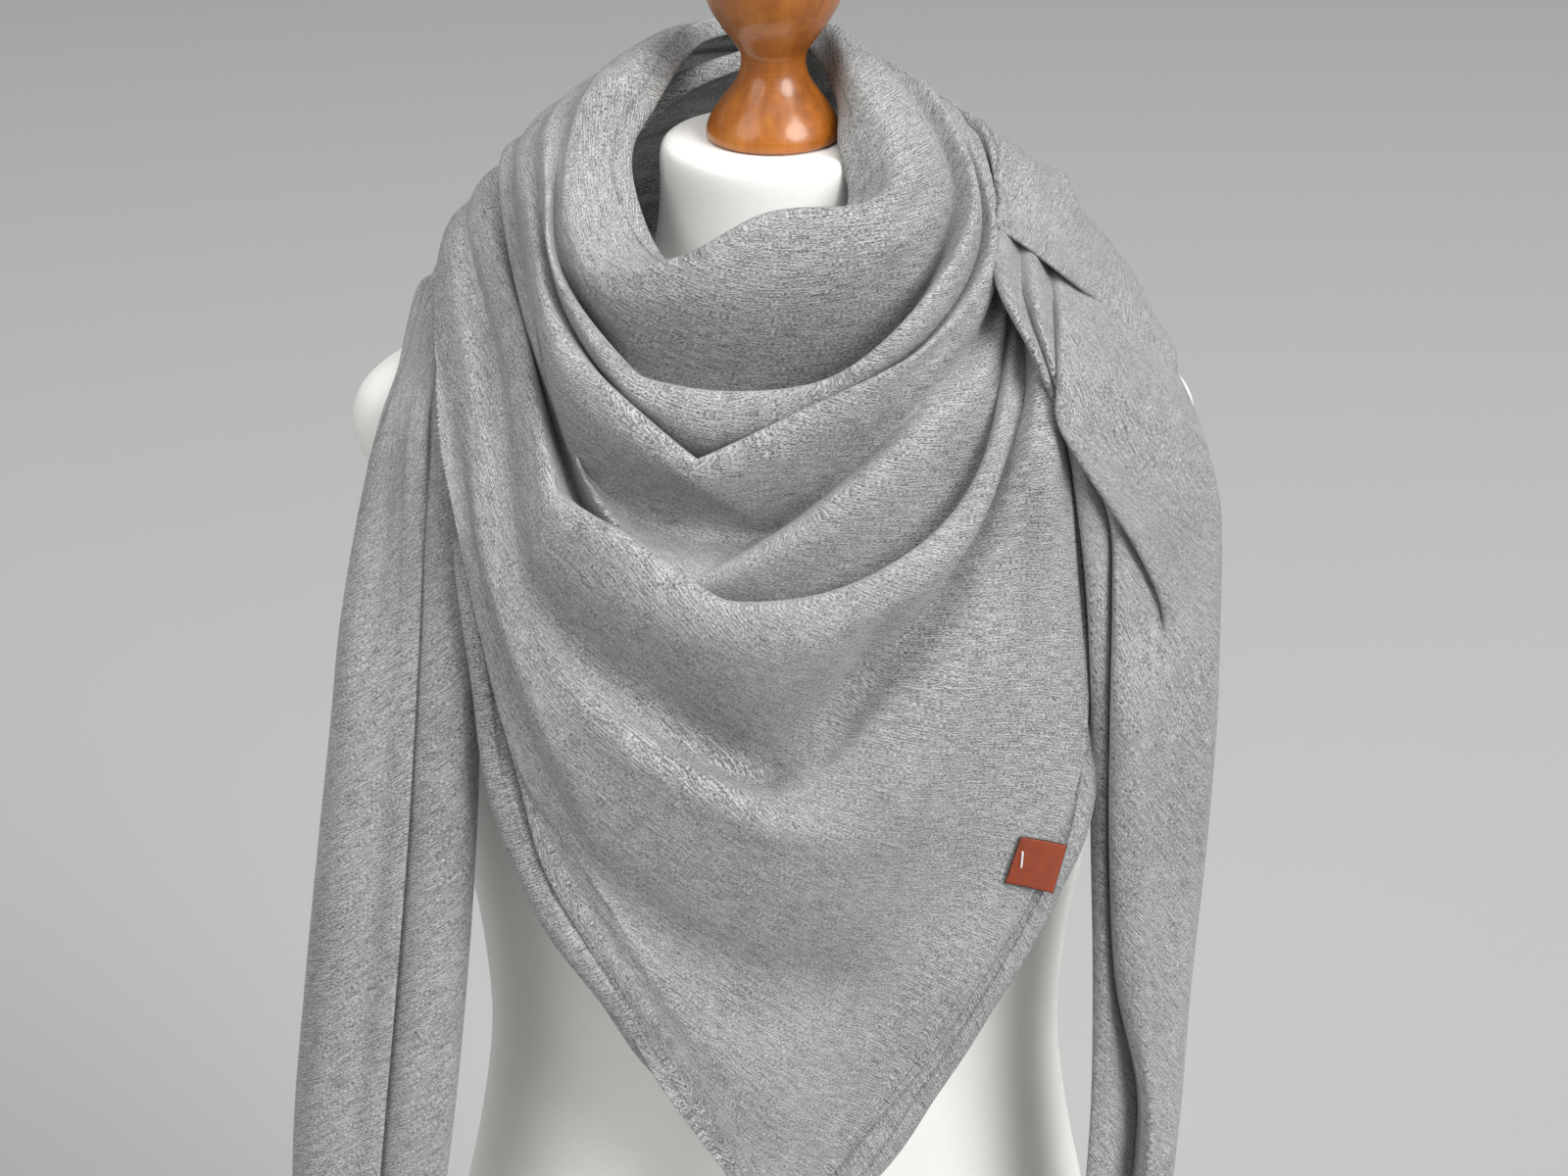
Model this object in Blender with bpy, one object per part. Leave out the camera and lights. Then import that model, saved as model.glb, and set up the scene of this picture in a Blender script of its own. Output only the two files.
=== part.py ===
"""A big triangular shawl worn point-in-front on a limbless dress form with a turned wooden neck knob.

The form stands on a round base. Origin: centre of the base's underside, on the floor.
Front faces -Y, +X is the right side of the picture, +Z is up. Metres.
Heights in the tables are millimetres measured from the form's neck plate.
"""
import math

import bpy
import numpy as np

MM = 0.001
NECK_PLATE_Z = 0.960      # height of the flat top of the form's neck
CLOTH_WALL = 0.0020       # heavy sweatshirt knit
SEAM_GAP = 0.0010         # between two stretches of the one cloth
FORM_SIDES = 40
KNOB_SIDES = 24

BASE_RADIUS = 0.160
BASE_HEIGHT = 0.022
BASE_ROUND = 0.004
POLE_RADIUS = 0.0125
POLE_COLLAR_RADIUS = 0.030
POLE_COLLAR_HEIGHT = 0.026
TORSO_BOTTOM = -700.0     # mm from the neck plate

LABEL_SIDE = 0.0248
LABEL_THICK = 0.0014
LABEL_GAP = 0.0007        # between the leather and the cloth
LABEL_STEPS = 4           # the leather bends with the cloth under it
LABEL_REACH = 0.9         # rows and places looked at round the label, and samples on each side
LABEL_SAMPLES = 30
LABEL_PLACE = (17.15, 7.75)           # rows down the front, places across it
LABEL_TOP_EDGE = (0.95, 0.09, -0.30)  # the way the label's top edge runs

# Level rings of the form: height, half breadth, depth in front, depth behind,
# how far the bust stands out at its two fullest points, squareness of the ring.
TORSO_RINGS = (
    (0.0, 48.0, 48.0, 48.0, 0.0, 2.0),
    (-1.6, 52.8, 52.8, 52.8, 0.0, 2.0),
    (-5.5, 54.5, 54.5, 54.5, 0.0, 2.0),
    (-30.0, 55.0, 55.0, 56.0, 0.0, 2.0),
    (-54.0, 58.5, 57.0, 61.0, 0.0, 2.0),
    (-70.0, 68.0, 60.0, 67.0, 0.0, 2.0),
    (-81.0, 90.0, 63.0, 72.0, 0.0, 2.0),
    (-91.0, 120.0, 65.0, 76.0, 0.0, 2.0),
    (-100.0, 150.0, 66.0, 79.0, 0.0, 2.1),
    (-108.0, 175.0, 67.0, 80.0, 0.0, 2.1),
    (-118.0, 194.0, 68.0, 81.0, 0.0, 2.1),
    (-129.0, 204.5, 69.0, 82.0, 0.0, 2.1),
    (-142.0, 208.0, 70.0, 83.0, 1.0, 2.1),
    (-158.0, 205.0, 73.0, 84.0, 3.0, 2.1),
    (-174.0, 196.0, 77.0, 85.0, 6.0, 2.1),
    (-192.0, 184.0, 84.0, 86.0, 10.0, 2.1),
    (-215.0, 176.0, 93.0, 87.0, 13.0, 2.1),
    (-245.0, 172.0, 103.0, 86.0, 15.0, 2.1),
    (-275.0, 172.0, 108.0, 85.0, 15.0, 2.1),
    (-310.0, 171.0, 103.0, 82.0, 11.0, 2.1),
    (-345.0, 167.0, 94.0, 79.0, 5.0, 2.1),
    (-385.0, 160.0, 88.0, 76.0, 1.0, 2.1),
    (-430.0, 153.0, 85.0, 75.0, 0.0, 2.1),
    (-482.0, 150.0, 85.0, 76.0, 0.0, 2.1),
    (-535.0, 156.0, 89.0, 84.0, 0.0, 2.1),
    (-590.0, 167.0, 96.0, 98.0, 0.0, 2.1),
    (-640.0, 177.0, 101.0, 108.0, 0.0, 2.1),
    (-680.0, 182.0, 103.0, 111.0, 0.0, 2.1),
    (-694.0, 181.0, 102.0, 110.0, 0.0, 2.1),
    (TORSO_BOTTOM, 176.0, 98.0, 105.0, 0.0, 2.1),
)
BUST_APART = 82.0         # each fullest point from the middle
BUST_SPREAD = 46.0

# Turned profile of the wooden neck knob: radius, height over the neck plate.
KNOB_PROFILE = (
    (30.0, 0.3),
    (32.0, 1.6),
    (32.4, 4.2),
    (31.4, 8.2),
    (29.2, 12.6),
    (26.0, 17.4),
    (22.2, 22.4),
    (18.6, 27.6),
    (16.2, 33.0),
    (15.4, 38.2),
    (16.2, 42.6),
    (19.6, 48.0),
    (25.4, 56.0),
    (31.2, 66.0),
    (34.8, 77.0),
    (34.6, 87.5),
    (30.8, 98.0),
    (23.8, 107.5),
    (14.6, 115.0),
    (6.0, 118.8),
)

# Folds of the front, from the neckline down to the point. Each row runs across the front and is
# (name, nine places): left shoulder, left side, left collarbone, left flank, sag,
# right flank, right collarbone, right side, right shoulder. Each place is (x, y, height).
FRONT_FOLDS = (
    ("neckline", (-71, 0, 16), (-69, -18, 1), (-64, -44, -18), (-50, -60, -43), (-21, -66, -56),
        (10, -64, -42), (33, -56, -17), (42, -34, 6), (40, 0, 16)),
    ("inner_wall", (-82, 0, 24), (-84, -22, 9), (-83, -48, -9), (-66, -74, -33), (-31, -88, -41),
        (5, -86, -23), (47, -74, -8), (54, -40, 14), (46, 0, 30)),
    ("lip", (-95, 0, 17), (-98, -28, 2), (-101, -60, -17), (-80, -90, -35), (-44, -108, -26),
        (-2, -106, -4), (52, -90, -5), (71, -50, 4), (60, 0, 29)),
    ("hollow_1", (-103, 0, 6), (-104, -38, -19), (-103, -68, -42), (-80, -84, -69), (-25, -88, -76),
        (27, -90, -60), (69, -84, -43), (79, -46, -12), (70, 0, 18)),
    ("fold_2", (-112, 0, 5), (-111, -50, -20), (-108, -92, -44), (-82, -114, -71), (-27, -126, -83),
        (27, -122, -78), (73, -108, -58), (94, -62, -18), (80, 0, 23)),
    ("hollow_2", (-114, 0, -7), (-112, -46, -33), (-104, -86, -60), (-84, -104, -86), (-30, -108, -107),
        (25, -108, -91), (80, -96, -74), (96, -56, -34), (84, 0, 11)),
    ("fold_3", (-124, 0, -5), (-118, -60, -36), (-106, -108, -61), (-74, -130, -91), (-34, -138, -112),
        (7, -134, -93), (68, -120, -74), (104, -76, -42), (94, 0, 7)),
    ("hollow_3", (-124, 0, -17), (-119, -54, -48), (-101, -104, -93), (-64, -122, -126), (-5, -128, -149),
        (32, -128, -115), (74, -113, -89), (101, -74, -58), (95, 0, -6)),
    ("fold_4", (-134, 0, -14), (-124, -48, -54), (-94, -124, -112), (-66, -142, -149), (-41, -151, -165),
        (-1, -148, -145), (62, -132, -99), (106, -92, -68), (104, 0, -14)),
    ("hollow_4", (-134, 0, -26), (-126, -40, -60), (-101, -110, -130), (-69, -138, -173), (-33, -146, -192),
        (12, -141, -169), (70, -120, -119), (103, -86, -84), (102, 0, -29)),
    ("fold_5", (-144, 0, -23), (-133, -46, -58), (-107, -124, -116), (-72, -159, -144), (-18, -173, -174),
        (28, -165, -154), (76, -143, -118), (108, -106, -92), (110, 0, -39)),
    ("hollow_5", (-144, 0, -36), (-134, -46, -74), (-112, -110, -138), (-71, -138, -200), (-8, -148, -234),
        (41, -146, -197), (88, -128, -140), (113, -94, -104), (109, 0, -54)),
    ("fold_6", (-154, 0, -32), (-144, -68, -72), (-120, -124, -148), (-68, -160, -217), (5, -174, -262),
        (45, -164, -229), (95, -138, -170), (121, -106, -118), (119, 0, -60)),
    ("band_7", (-160, 0, -46), (-148, -66, -84), (-128, -126, -180), (-80, -154, -258), (7, -168, -309),
        (69, -158, -280), (112, -138, -205), (129, -108, -136), (129, 0, -75)),
    ("panel_8", (-158, -82, -122), (-142, -108, -168), (-121, -131, -224), (-78, -153, -298), (4, -162, -340),
        (74, -154, -306), (118, -138, -238), (131, -114, -170), (142, -76, -118)),
    ("panel_9", (-147, -110, -176), (-133, -122, -216), (-112, -138, -266), (-70, -153, -326), (3, -159, -366),
        (74, -153, -332), (117, -141, -270), (134, -120, -218), (145, -94, -184)),
    ("panel_10", (-137, -120, -228), (-123, -131, -262), (-98, -143, -305), (-60, -153, -354), (2, -158, -391),
        (68, -153, -358), (112, -143, -304), (138, -127, -262), (147, -112, -234)),
    ("panel_11", (-123, -130, -272), (-106, -138, -299), (-82, -147, -337), (-49, -154, -378), (2, -158, -414),
        (58, -154, -382), (101, -147, -340), (130, -136, -302), (145, -126, -276)),
    ("panel_12", (-104, -138, -322), (-88, -144, -344), (-67, -150, -372), (-38, -155, -405), (1, -158, -437),
        (48, -155, -409), (86, -150, -376), (114, -145, -348), (130, -140, -326)),
    ("point_1", (-80, -144, -370), (-66, -149, -386), (-49, -153, -408), (-27, -156, -434), (1, -159, -462),
        (35, -156, -438), (64, -153, -413), (88, -150, -391), (103, -146, -376)),
    ("point_2", (-52, -151, -424), (-40, -153, -432), (-29, -156, -446), (-16, -158, -466), (1, -160, -489),
        (23, -158, -470), (43, -156, -452), (60, -153, -436), (72, -150, -428)),
    ("apex", (-22, -158, -483), (-17, -158, -492), (-12, -159, -502), (-6, -161, -513), (0, -162, -522),
        (8, -161, -512), (16, -160, -500), (22, -158, -492), (30, -157, -482)),
)
SEAM_ROWS = 14            # the rows, from the neckline, whose ends go on round the neck
FRONT_STEPS_ACROSS = 4    # between two places of a row
FRONT_STEPS_DOWN = 2       # between two rows

# Pleats across a band behind the neck, from its upper edge to its lower edge:
# how far across, how far out (1) or in (-1) the cloth lies there.
BAND_PLEATS = (
    (0.00, -0.2), (0.07, 0.6), (0.14, 0.9), (0.22, -0.7), (0.29, 0.3), (0.36, -0.3), (0.44, 1.0),
    (0.53, -0.9), (0.60, 0.1), (0.67, -0.3), (0.76, 1.0), (0.85, -0.6), (0.94, 0.4), (1.00, -0.7),
)
# Stations of a band: upper edge, lower edge, middle bulging out, pleat depth.
OUTER_BAND = (
    ("left of the nape", (-84, 46, 28), (-150, 60, -64), 8.0, 5.0),
    ("behind left", (-58, 86, 27), (-80, 126, -74), 6.0, 6.5),
    ("nape", (0, 106, 26), (8, 144, -86), 5.0, 7.0),
    ("behind right", (54, 90, 12), (92, 130, -102), 6.0, 7.0),
    ("right of the nape", (82, 46, 6), (172, 92, -120), 12.0, 3.0),
    ("right shoulder", (102, 4, 1), (198, 4, -114), 17.0, 1.2),
)
INNER_BAND = (
    ("right of the nape", (38, 44, 29), (116, 52, -80), 6.0, 4.5),
    ("behind right", (30, 74, 29), (74, 100, -88), 4.0, 6.0),
    ("nape", (0, 84, 15), (-6, 112, -92), 4.0, 6.0),
    ("behind left", (-54, 72, -8), (-90, 106, -106), 4.0, 5.0),
    ("left of the nape", (-98, 42, -46), (-168, 84, -124), 5.0, 3.5),
    ("left shoulder", (-120, 8, -62), (-184, 16, -98), 8.0, 3.0),
)

# How a tail's pleats lie, seen from above: across from the inner side (0) to the outer side (1),
# and back from the tail's front (0) to its back (1).
RIGHT_TAIL_PLEATS = (
    (0.30, 1.00), (0.12, 0.80), (0.00, 0.56), (0.06, 0.36), (0.16, 0.42), (0.34, 0.54), (0.36, 0.28),
    (0.20, 0.10), (0.25, 0.00), (0.46, 0.03), (0.72, 0.00), (0.94, 0.12), (1.00, 0.44), (0.80, 0.78),
)
LEFT_TAIL_PLEATS = (
    (0.14, 0.84), (0.00, 0.54), (0.07, 0.32), (0.20, 0.30), (0.31, 0.42), (0.34, 0.22), (0.27, 0.10),
    (0.38, 0.08), (0.50, 0.28), (0.55, 0.12), (0.64, 0.00), (0.90, 0.05), (1.00, 0.42), (0.74, 0.86),
)
# Stations of a tail going down: inner side, outer side, depth of the pleats behind that line,
# how far the pleats are folded there (1 is fully), and how far the middle bulges out.
RIGHT_TAIL = (
    ("over the shoulder", (105, -44, -13), (205, -22, -116), 8.0, 0.30, 13.0),
    ("front of the shoulder", (110, -108, -58), (207, -50, -136), 20.0, 0.45, 9.0),
    ("chest", (139, -128, -112), (214, -80, -172), 30.0, 0.95, 2.0),
    ("bust", (149, -136, -176), (215, -94, -216), 36.0, 1.0, 0.0),
    ("ribs", (152, -138, -236), (215, -100, -265), 38.0, 1.0, 0.0),
    ("waist", (155, -136, -316), (213, -100, -340), 40.0, 1.0, 0.0),
    ("hip", (159, -134, -395), (209, -100, -418), 42.0, 1.0, 0.0),
    ("under the hip", (161, -134, -470), (207, -100, -490), 40.0, 1.0, 0.0),
    ("low", (159, -132, -560), (202, -102, -575), 38.0, 1.0, 0.0),
    ("taper", (160, -129, -650), (199, -106, -664), 35.0, 1.0, 0.0),
    ("corner", (162, -127, -714), (199, -108, -742), 34.0, 1.0, 0.0),
)
LEFT_TAIL = (
    ("over the shoulder", (-128, -26, -80), (-185, -15, -111), 5.0, 0.12, 8.0),
    ("front of the shoulder", (-137, -68, -116), (-193, -50, -130), 14.0, 0.45, 5.0),
    ("chest", (-142, -88, -156), (-200, -68, -170), 20.0, 0.95, 2.0),
    ("bust", (-141, -99, -206), (-210, -82, -224), 28.0, 1.0, 0.0),
    ("ribs", (-143, -110, -256), (-216, -92, -273), 34.0, 1.0, 0.0),
    ("waist", (-146, -118, -316), (-224, -96, -331), 38.0, 1.0, 0.0),
    ("hip", (-154, -120, -405), (-236, -98, -420), 42.0, 1.0, 0.0),
    ("under the hip", (-164, -120, -490), (-246, -98, -504), 40.0, 1.0, 0.0),
    ("low", (-176, -118, -570), (-250, -100, -582), 38.0, 1.0, 0.0),
    ("taper", (-190, -114, -655), (-250, -100, -664), 34.0, 1.0, 0.0),
    ("corner", (-198, -113, -714), (-250, -102, -742), 35.0, 1.0, 0.0),
)
TAIL_STEPS = 2
BAND_STEPS = 3

# The lower layer of the cloth where it shows beside the front: inner edge, outer edge, going down.
LEFT_UNDER_LAYER = (
    ((-126, -112, -200), (-142, -106, -180)),
    ((-114, -120, -244), (-140, -114, -218)),
    ((-100, -130, -296), (-133, -124, -264)),
    ((-84, -138, -346), (-119, -133, -318)),
    ((-62, -144, -386), (-98, -140, -360)),
    ((-34, -149, -424), (-68, -146, -408)),
    ((-8, -153, -462), (-40, -151, -450)),
)
RIGHT_UNDER_LAYER = (
    ((120, -103, -186), (146, -93, -214)),
    ((120, -117, -236), (150, -109, -255)),
    ((114, -129, -282), (148, -125, -292)),
    ((98, -137, -326), (130, -135, -346)),
    ((72, -143, -368), (102, -143, -402)),
    ((44, -148, -410), (74, -148, -450)),
    ((22, -152, -446), (52, -153, -484)),
)

def clear_scene():
    """Take out everything that the start-up scene holds."""
    for item in list(bpy.data.objects):
        bpy.data.objects.remove(item, do_unlink=True)


def finish(name, colour, roughness):
    """A plain material for one piece."""
    material = bpy.data.materials.new(name)
    material.use_nodes = True
    shader = material.node_tree.nodes["Principled BSDF"]
    shader.inputs["Base Color"].default_value = (*colour, 1.0)
    shader.inputs["Roughness"].default_value = roughness
    shader.inputs["Metallic"].default_value = 0.0
    return material


def mesh_object(name, points, faces, material, smooth=True):
    """One named object from points in metres and its faces."""
    mesh = bpy.data.meshes.new(name)
    mesh.from_pydata([tuple(map(float, p)) for p in points], [], faces)
    mesh.polygons.foreach_set("use_smooth", [smooth] * len(mesh.polygons))
    mesh.materials.append(material)
    mesh.update()
    item = bpy.data.objects.new(name, mesh)
    bpy.context.scene.collection.objects.link(item)
    return item


def placed(points):
    """Table points in millimetres from the neck plate, as metres from the floor."""
    return np.asarray(points, float) * MM + np.array((0.0, 0.0, NECK_PLATE_Z))


def smooth_through(points, at):
    """A smooth curve through a row of points, read at the given places (0 is the first point).

    The knots are spaced by the square root of the distance, so close folds stay crisp.
    """
    points = np.asarray(points, float)
    steps = np.linalg.norm(np.diff(points, axis=0), axis=-1)
    steps = np.sqrt(np.maximum(steps, 1e-6))
    slope = np.diff(points, axis=0) / steps[..., None]
    tangent = np.empty_like(points)
    tangent[0] = slope[0]
    tangent[-1] = slope[-1]
    before = steps[:-1, ..., None]
    after = steps[1:, ..., None]
    tangent[1:-1] = (slope[1:] * before + slope[:-1] * after) / (before + after)
    at = np.clip(np.asarray(at, float), 0.0, len(points) - 1.0)
    low = np.minimum(at.astype(int), len(points) - 2)
    t = (at - low).reshape((-1,) + (1,) * (points.ndim - 1))
    span = steps[low][..., None]
    return (
        points[low] * (1 + 2 * t) * (1 - t) ** 2
        + points[low + 1] * t * t * (3 - 2 * t)
        + span * tangent[low] * t * (1 - t) ** 2
        + span * tangent[low + 1] * t * t * (t - 1)
    )


def surface(controls, down, across):
    """A grid of points over a table of rows, read at places down the rows and across them."""
    rows = smooth_through(controls, down)
    return np.swapaxes(smooth_through(np.swapaxes(rows, 0, 1), across), 0, 1)


def wall(name, grid, material, flip=False, thickness=CLOTH_WALL):
    """A cloth wall over a grid of points."""
    rows, columns = grid.shape[:2]
    faces = []
    for r in range(rows - 1):
        for c in range(columns - 1):
            corner = r * columns + c
            quad = (corner, corner + columns, corner + columns + 1, corner + 1)
            faces.append(quad[::-1] if flip else quad)
    item = mesh_object(name, placed(grid.reshape(-1, 3)), faces, material)
    solid = item.modifiers.new("Wall", "SOLIDIFY")
    solid.thickness = thickness
    solid.offset = 0.0
    solid.use_even_offset = False
    return item


def turned(name, profile, sides, material):
    """A closed turned solid round the upright axis from (radius, height) pairs in metres."""
    points = [(0.0, 0.0, profile[0][1])]
    for radius, height in profile:
        for k in range(sides):
            angle = 2.0 * math.pi * k / sides
            points.append((radius * math.cos(angle), radius * math.sin(angle), height))
    points.append((0.0, 0.0, profile[-1][1]))
    return mesh_object(name, points, ring_faces(len(profile), sides), material)


def ring_faces(rings, sides):
    """Faces of stacked rings closed by a fan at the bottom and at the top."""
    top = 1 + rings * sides
    faces = []
    for k in range(sides):
        after = (k + 1) % sides
        faces.append((0, 1 + after, 1 + k))
        for r in range(rings - 1):
            low = 1 + r * sides
            faces.append((low + k, low + after, low + sides + after, low + sides + k))
        last = 1 + (rings - 1) * sides
        faces.append((last + k, last + after, top))
    return faces


def torso_ring(height, breadth, front, back, bust, power):
    """Points of one level ring of the form, in millimetres."""
    ring = []
    for k in range(FORM_SIDES):
        angle = 2.0 * math.pi * k / FORM_SIDES
        c, s = math.cos(angle), math.sin(angle)
        x = breadth * math.copysign(abs(c) ** (2.0 / power), c)
        depth = back if s > 0 else front
        y = depth * math.copysign(abs(s) ** (2.0 / power), s)
        if s < 0:
            away = (abs(x) - BUST_APART) / BUST_SPREAD
            y -= bust * math.exp(-away * away) * min(1.0, -2.0 * s)
        ring.append((x, y, height))
    return ring


def build_torso(material):
    """The limbless form: neck, sloping shoulders, bust, waist and hips."""
    points = [(0.0, 0.0, TORSO_BOTTOM)]
    for row in reversed(TORSO_RINGS):
        points.extend(torso_ring(*row))
    points.append((0.0, 0.0, 0.0))
    faces = ring_faces(len(TORSO_RINGS), FORM_SIDES)
    return mesh_object("form_torso", placed(points), faces, material)


def build_knob(material):
    """The turned wooden knob on the neck plate."""
    profile = [(radius * MM, NECK_PLATE_Z + height * MM) for radius, height in KNOB_PROFILE]
    return turned("form_neck_knob", profile, KNOB_SIDES, material)


def build_stand(wood, metal):
    """The round base on the floor, and the pole from it up to the form."""
    base = (
        (BASE_RADIUS - BASE_ROUND, 0.0),
        (BASE_RADIUS, BASE_ROUND),
        (BASE_RADIUS, BASE_HEIGHT - BASE_ROUND),
        (BASE_RADIUS - BASE_ROUND, BASE_HEIGHT),
    )
    turned("form_base", base, FORM_SIDES, wood)
    foot = BASE_HEIGHT + 0.0003
    under = NECK_PLATE_Z + TORSO_BOTTOM * MM - 0.0003
    pole = (
        (POLE_COLLAR_RADIUS, foot),
        (POLE_COLLAR_RADIUS, foot + POLE_COLLAR_HEIGHT * 0.7),
        (POLE_COLLAR_RADIUS * 0.7, foot + POLE_COLLAR_HEIGHT),
        (POLE_RADIUS, foot + POLE_COLLAR_HEIGHT + 0.004),
        (POLE_RADIUS, under - 0.016),
        (POLE_COLLAR_RADIUS * 0.8, under - 0.012),
        (POLE_COLLAR_RADIUS, under),
    )
    turned("form_pole", pole, KNOB_SIDES, metal)


def fold_points():
    """The table of the front's folds as an array: rows, places, (x, y, height)."""
    return np.array([row[1:] for row in FRONT_FOLDS], float)


def band_station(upper, lower, bulge, pleat, heading):
    """Points across a band at one station; heading is the way the band runs there."""
    upper = np.array(upper, float)
    lower = np.array(lower, float)
    out = np.cross(lower - upper, heading)
    out /= np.linalg.norm(out)
    if np.dot(out, (upper + lower) / 2 - np.array((0.0, 20.0, -60.0))) < 0:
        out = -out
    points = []
    for across, height in BAND_PLEATS:
        lift = 4.0 * bulge * across * (1.0 - across) + pleat * height
        points.append(upper + (lower - upper) * across + out * lift)
    return points


def tail_station(inner, outer, depth, folded, bulge, pleats):
    """Points across a tail at one station: the pleats laid behind its front line."""
    inner = np.array(inner, float)
    outer = np.array(outer, float)
    out = np.cross(outer - inner, (0.0, 0.5, 0.9))
    out /= np.linalg.norm(out)
    out *= -1.0 if out[1] > 0 else 1.0
    inward = np.array((0.0, 1.0, 0.0)) * folded - out * (1.0 - folded)
    points = []
    for k, (across, back) in enumerate(pleats):
        flat = k / (len(pleats) - 1.0)
        place = flat + (across - flat) * folded
        lift = 4.0 * bulge * place * (1.0 - place)
        points.append(inner + (outer - inner) * place + out * lift + inward * depth * back)
    return points


def strand_controls(side, band, tail, pleats):
    """Controls of one end of the cloth: the front's side, behind the neck, and down the tail."""
    folds = fold_points()[:SEAM_ROWS]
    edge = 0 if side == "left" else -1
    inward = 1 if side == "left" else -2
    rows = [folds[:, inward], folds[:, edge]]
    middles = [(folds[0, edge] + folds[-1, edge]) / 2]
    middles += [(np.array(row[1]) + np.array(row[2])) / 2 for row in band]
    middles.append((np.array(tail[0][1]) + np.array(tail[0][2])) / 2)
    for k, (_, upper, lower, bulge, pleat) in enumerate(band):
        heading = middles[k + 2] - middles[k]
        rows.append(band_station(upper, lower, bulge, pleat, heading))
    rows += [tail_station(*station[1:], pleats) for station in tail]
    return np.array(rows, float)


def front_controls(left, right):
    """The front's rows, each carried one place further at both sides so that it runs on."""
    folds = fold_points()
    before = 2 * folds[:, 0] - folds[:, 1]
    after = 2 * folds[:, -1] - folds[:, -2]
    before[:SEAM_ROWS] = left[2]
    after[:SEAM_ROWS] = right[2]
    return np.concatenate([before[:, None], folds, after[:, None]], axis=1)


def build_front(controls, material):
    """The front of the shawl, from the cowl at the neck down to its point."""
    below = len(controls) - 1
    down = np.linspace(0.0, below, below * FRONT_STEPS_DOWN + 1)
    places = controls.shape[1] - 3
    across = 1.0 + np.linspace(0.0, places, places * FRONT_STEPS_ACROSS + 1)
    grid = surface(controls, down, across)
    grid[..., 1] = np.minimum(grid[..., 1], 0.0)
    return wall("shawl_front", grid, material)


def build_end(name, controls, material, flip):
    """One end of the cloth: its band behind the neck and its hanging tail, as two stretches."""
    across = np.arange(SEAM_ROWS, dtype=float)
    seam = 1.0 + len(OUTER_BAND)
    step = np.linalg.norm(np.mean(controls[2] - controls[1], axis=0))
    start = 1.0 + SEAM_GAP / MM / step
    down = np.concatenate([[start], np.arange(1.0 + 1 / BAND_STEPS, seam + 0.01, 1 / BAND_STEPS)])
    wall(name + "_band", surface(controls, down, across), material, flip)
    step = np.linalg.norm(np.mean(controls[int(seam) + 1] - controls[int(seam)], axis=0))
    start = seam + SEAM_GAP / MM / step
    last = len(controls) - 1.0
    down = np.concatenate([[start], np.arange(seam + 1 / TAIL_STEPS, last + 0.01, 1 / TAIL_STEPS)])
    wall(name + "_tail", surface(controls, down, across), material, flip)


def build_strip(name, table, material, across_steps=2, down_steps=2, flip=False):
    """A narrow stretch of the cloth between two edges, going down."""
    controls = np.array(table, float)
    down = np.linspace(0.0, len(controls) - 1.0, (len(controls) - 1) * down_steps + 1)
    across = np.linspace(0.0, 1.0, across_steps + 1)
    return wall(name, surface(controls, down, across), material, flip)


def bend_terms(u, v):
    """The terms of a gently bent sheet over its own two directions."""
    return np.stack([np.ones_like(u), u, v, u * u, u * v, v * v], axis=-1)


def build_label(controls, material):
    """The square leather label, bent to the cloth under it near the right edge of the front."""
    down, across = LABEL_PLACE
    ticks = np.linspace(-LABEL_REACH, LABEL_REACH, 2 * LABEL_SAMPLES + 1)
    patch = surface(controls, down + ticks, across + ticks)
    middle = LABEL_SAMPLES
    centre = patch[middle, middle]
    out = np.cross(patch[middle + 1, middle] - centre, patch[middle, middle + 1] - centre)
    out /= np.linalg.norm(out)
    out *= -1.0 if out[1] > 0 else 1.0
    along = np.array(LABEL_TOP_EDGE)
    along -= out * np.dot(out, along)
    along /= np.linalg.norm(along)
    sides = np.stack([along, np.cross(out, along), out])
    local = (patch - centre) @ sides.T
    side = LABEL_SIDE / MM
    under = local[(np.abs(local[..., :2]) < 0.6 * side).all(axis=-1)]
    terms = bend_terms(under[:, 0], under[:, 1])
    bend = np.linalg.lstsq(terms, under[:, 2], rcond=None)[0]
    rise = np.max(under[:, 2] - terms @ bend)
    lift = rise + (CLOTH_WALL / 2 + LABEL_GAP + LABEL_THICK / 2) / MM
    edge = np.linspace(-0.5, 0.5, LABEL_STEPS + 1) * side
    v, u = np.meshgrid(edge, edge, indexing="ij")
    height = bend_terms(u, v) @ bend + lift
    grid = centre + np.stack([u, v, height], axis=-1) @ sides
    return wall("label", grid, material, thickness=LABEL_THICK)


def main():
    """Build the form, then the cloth from the inside out."""
    clear_scene()
    cover = finish("form cover, white jersey", (0.86, 0.86, 0.85), 0.75)
    wood = finish("turned wood, honey varnish", (0.52, 0.20, 0.05), 0.30)
    steel = finish("brushed steel", (0.55, 0.55, 0.56), 0.35)
    knit = finish("grey melange knit", (0.33, 0.34, 0.34), 0.92)
    leather = finish("cognac leather", (0.30, 0.075, 0.03), 0.55)
    build_torso(cover)
    build_knob(wood)
    build_stand(wood, steel)
    left_end = strand_controls("left", OUTER_BAND, RIGHT_TAIL, RIGHT_TAIL_PLEATS)
    right_end = strand_controls("right", INNER_BAND, LEFT_TAIL, LEFT_TAIL_PLEATS)
    front = front_controls(left_end, right_end)
    build_front(front, knit)
    build_end("shawl_outer", left_end, knit, True)
    build_end("shawl_inner", right_end, knit, False)
    build_strip("shawl_under_left", LEFT_UNDER_LAYER, knit)
    build_strip("shawl_under_right", RIGHT_UNDER_LAYER, knit, flip=True)
    build_label(front, leather)


main()
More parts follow.
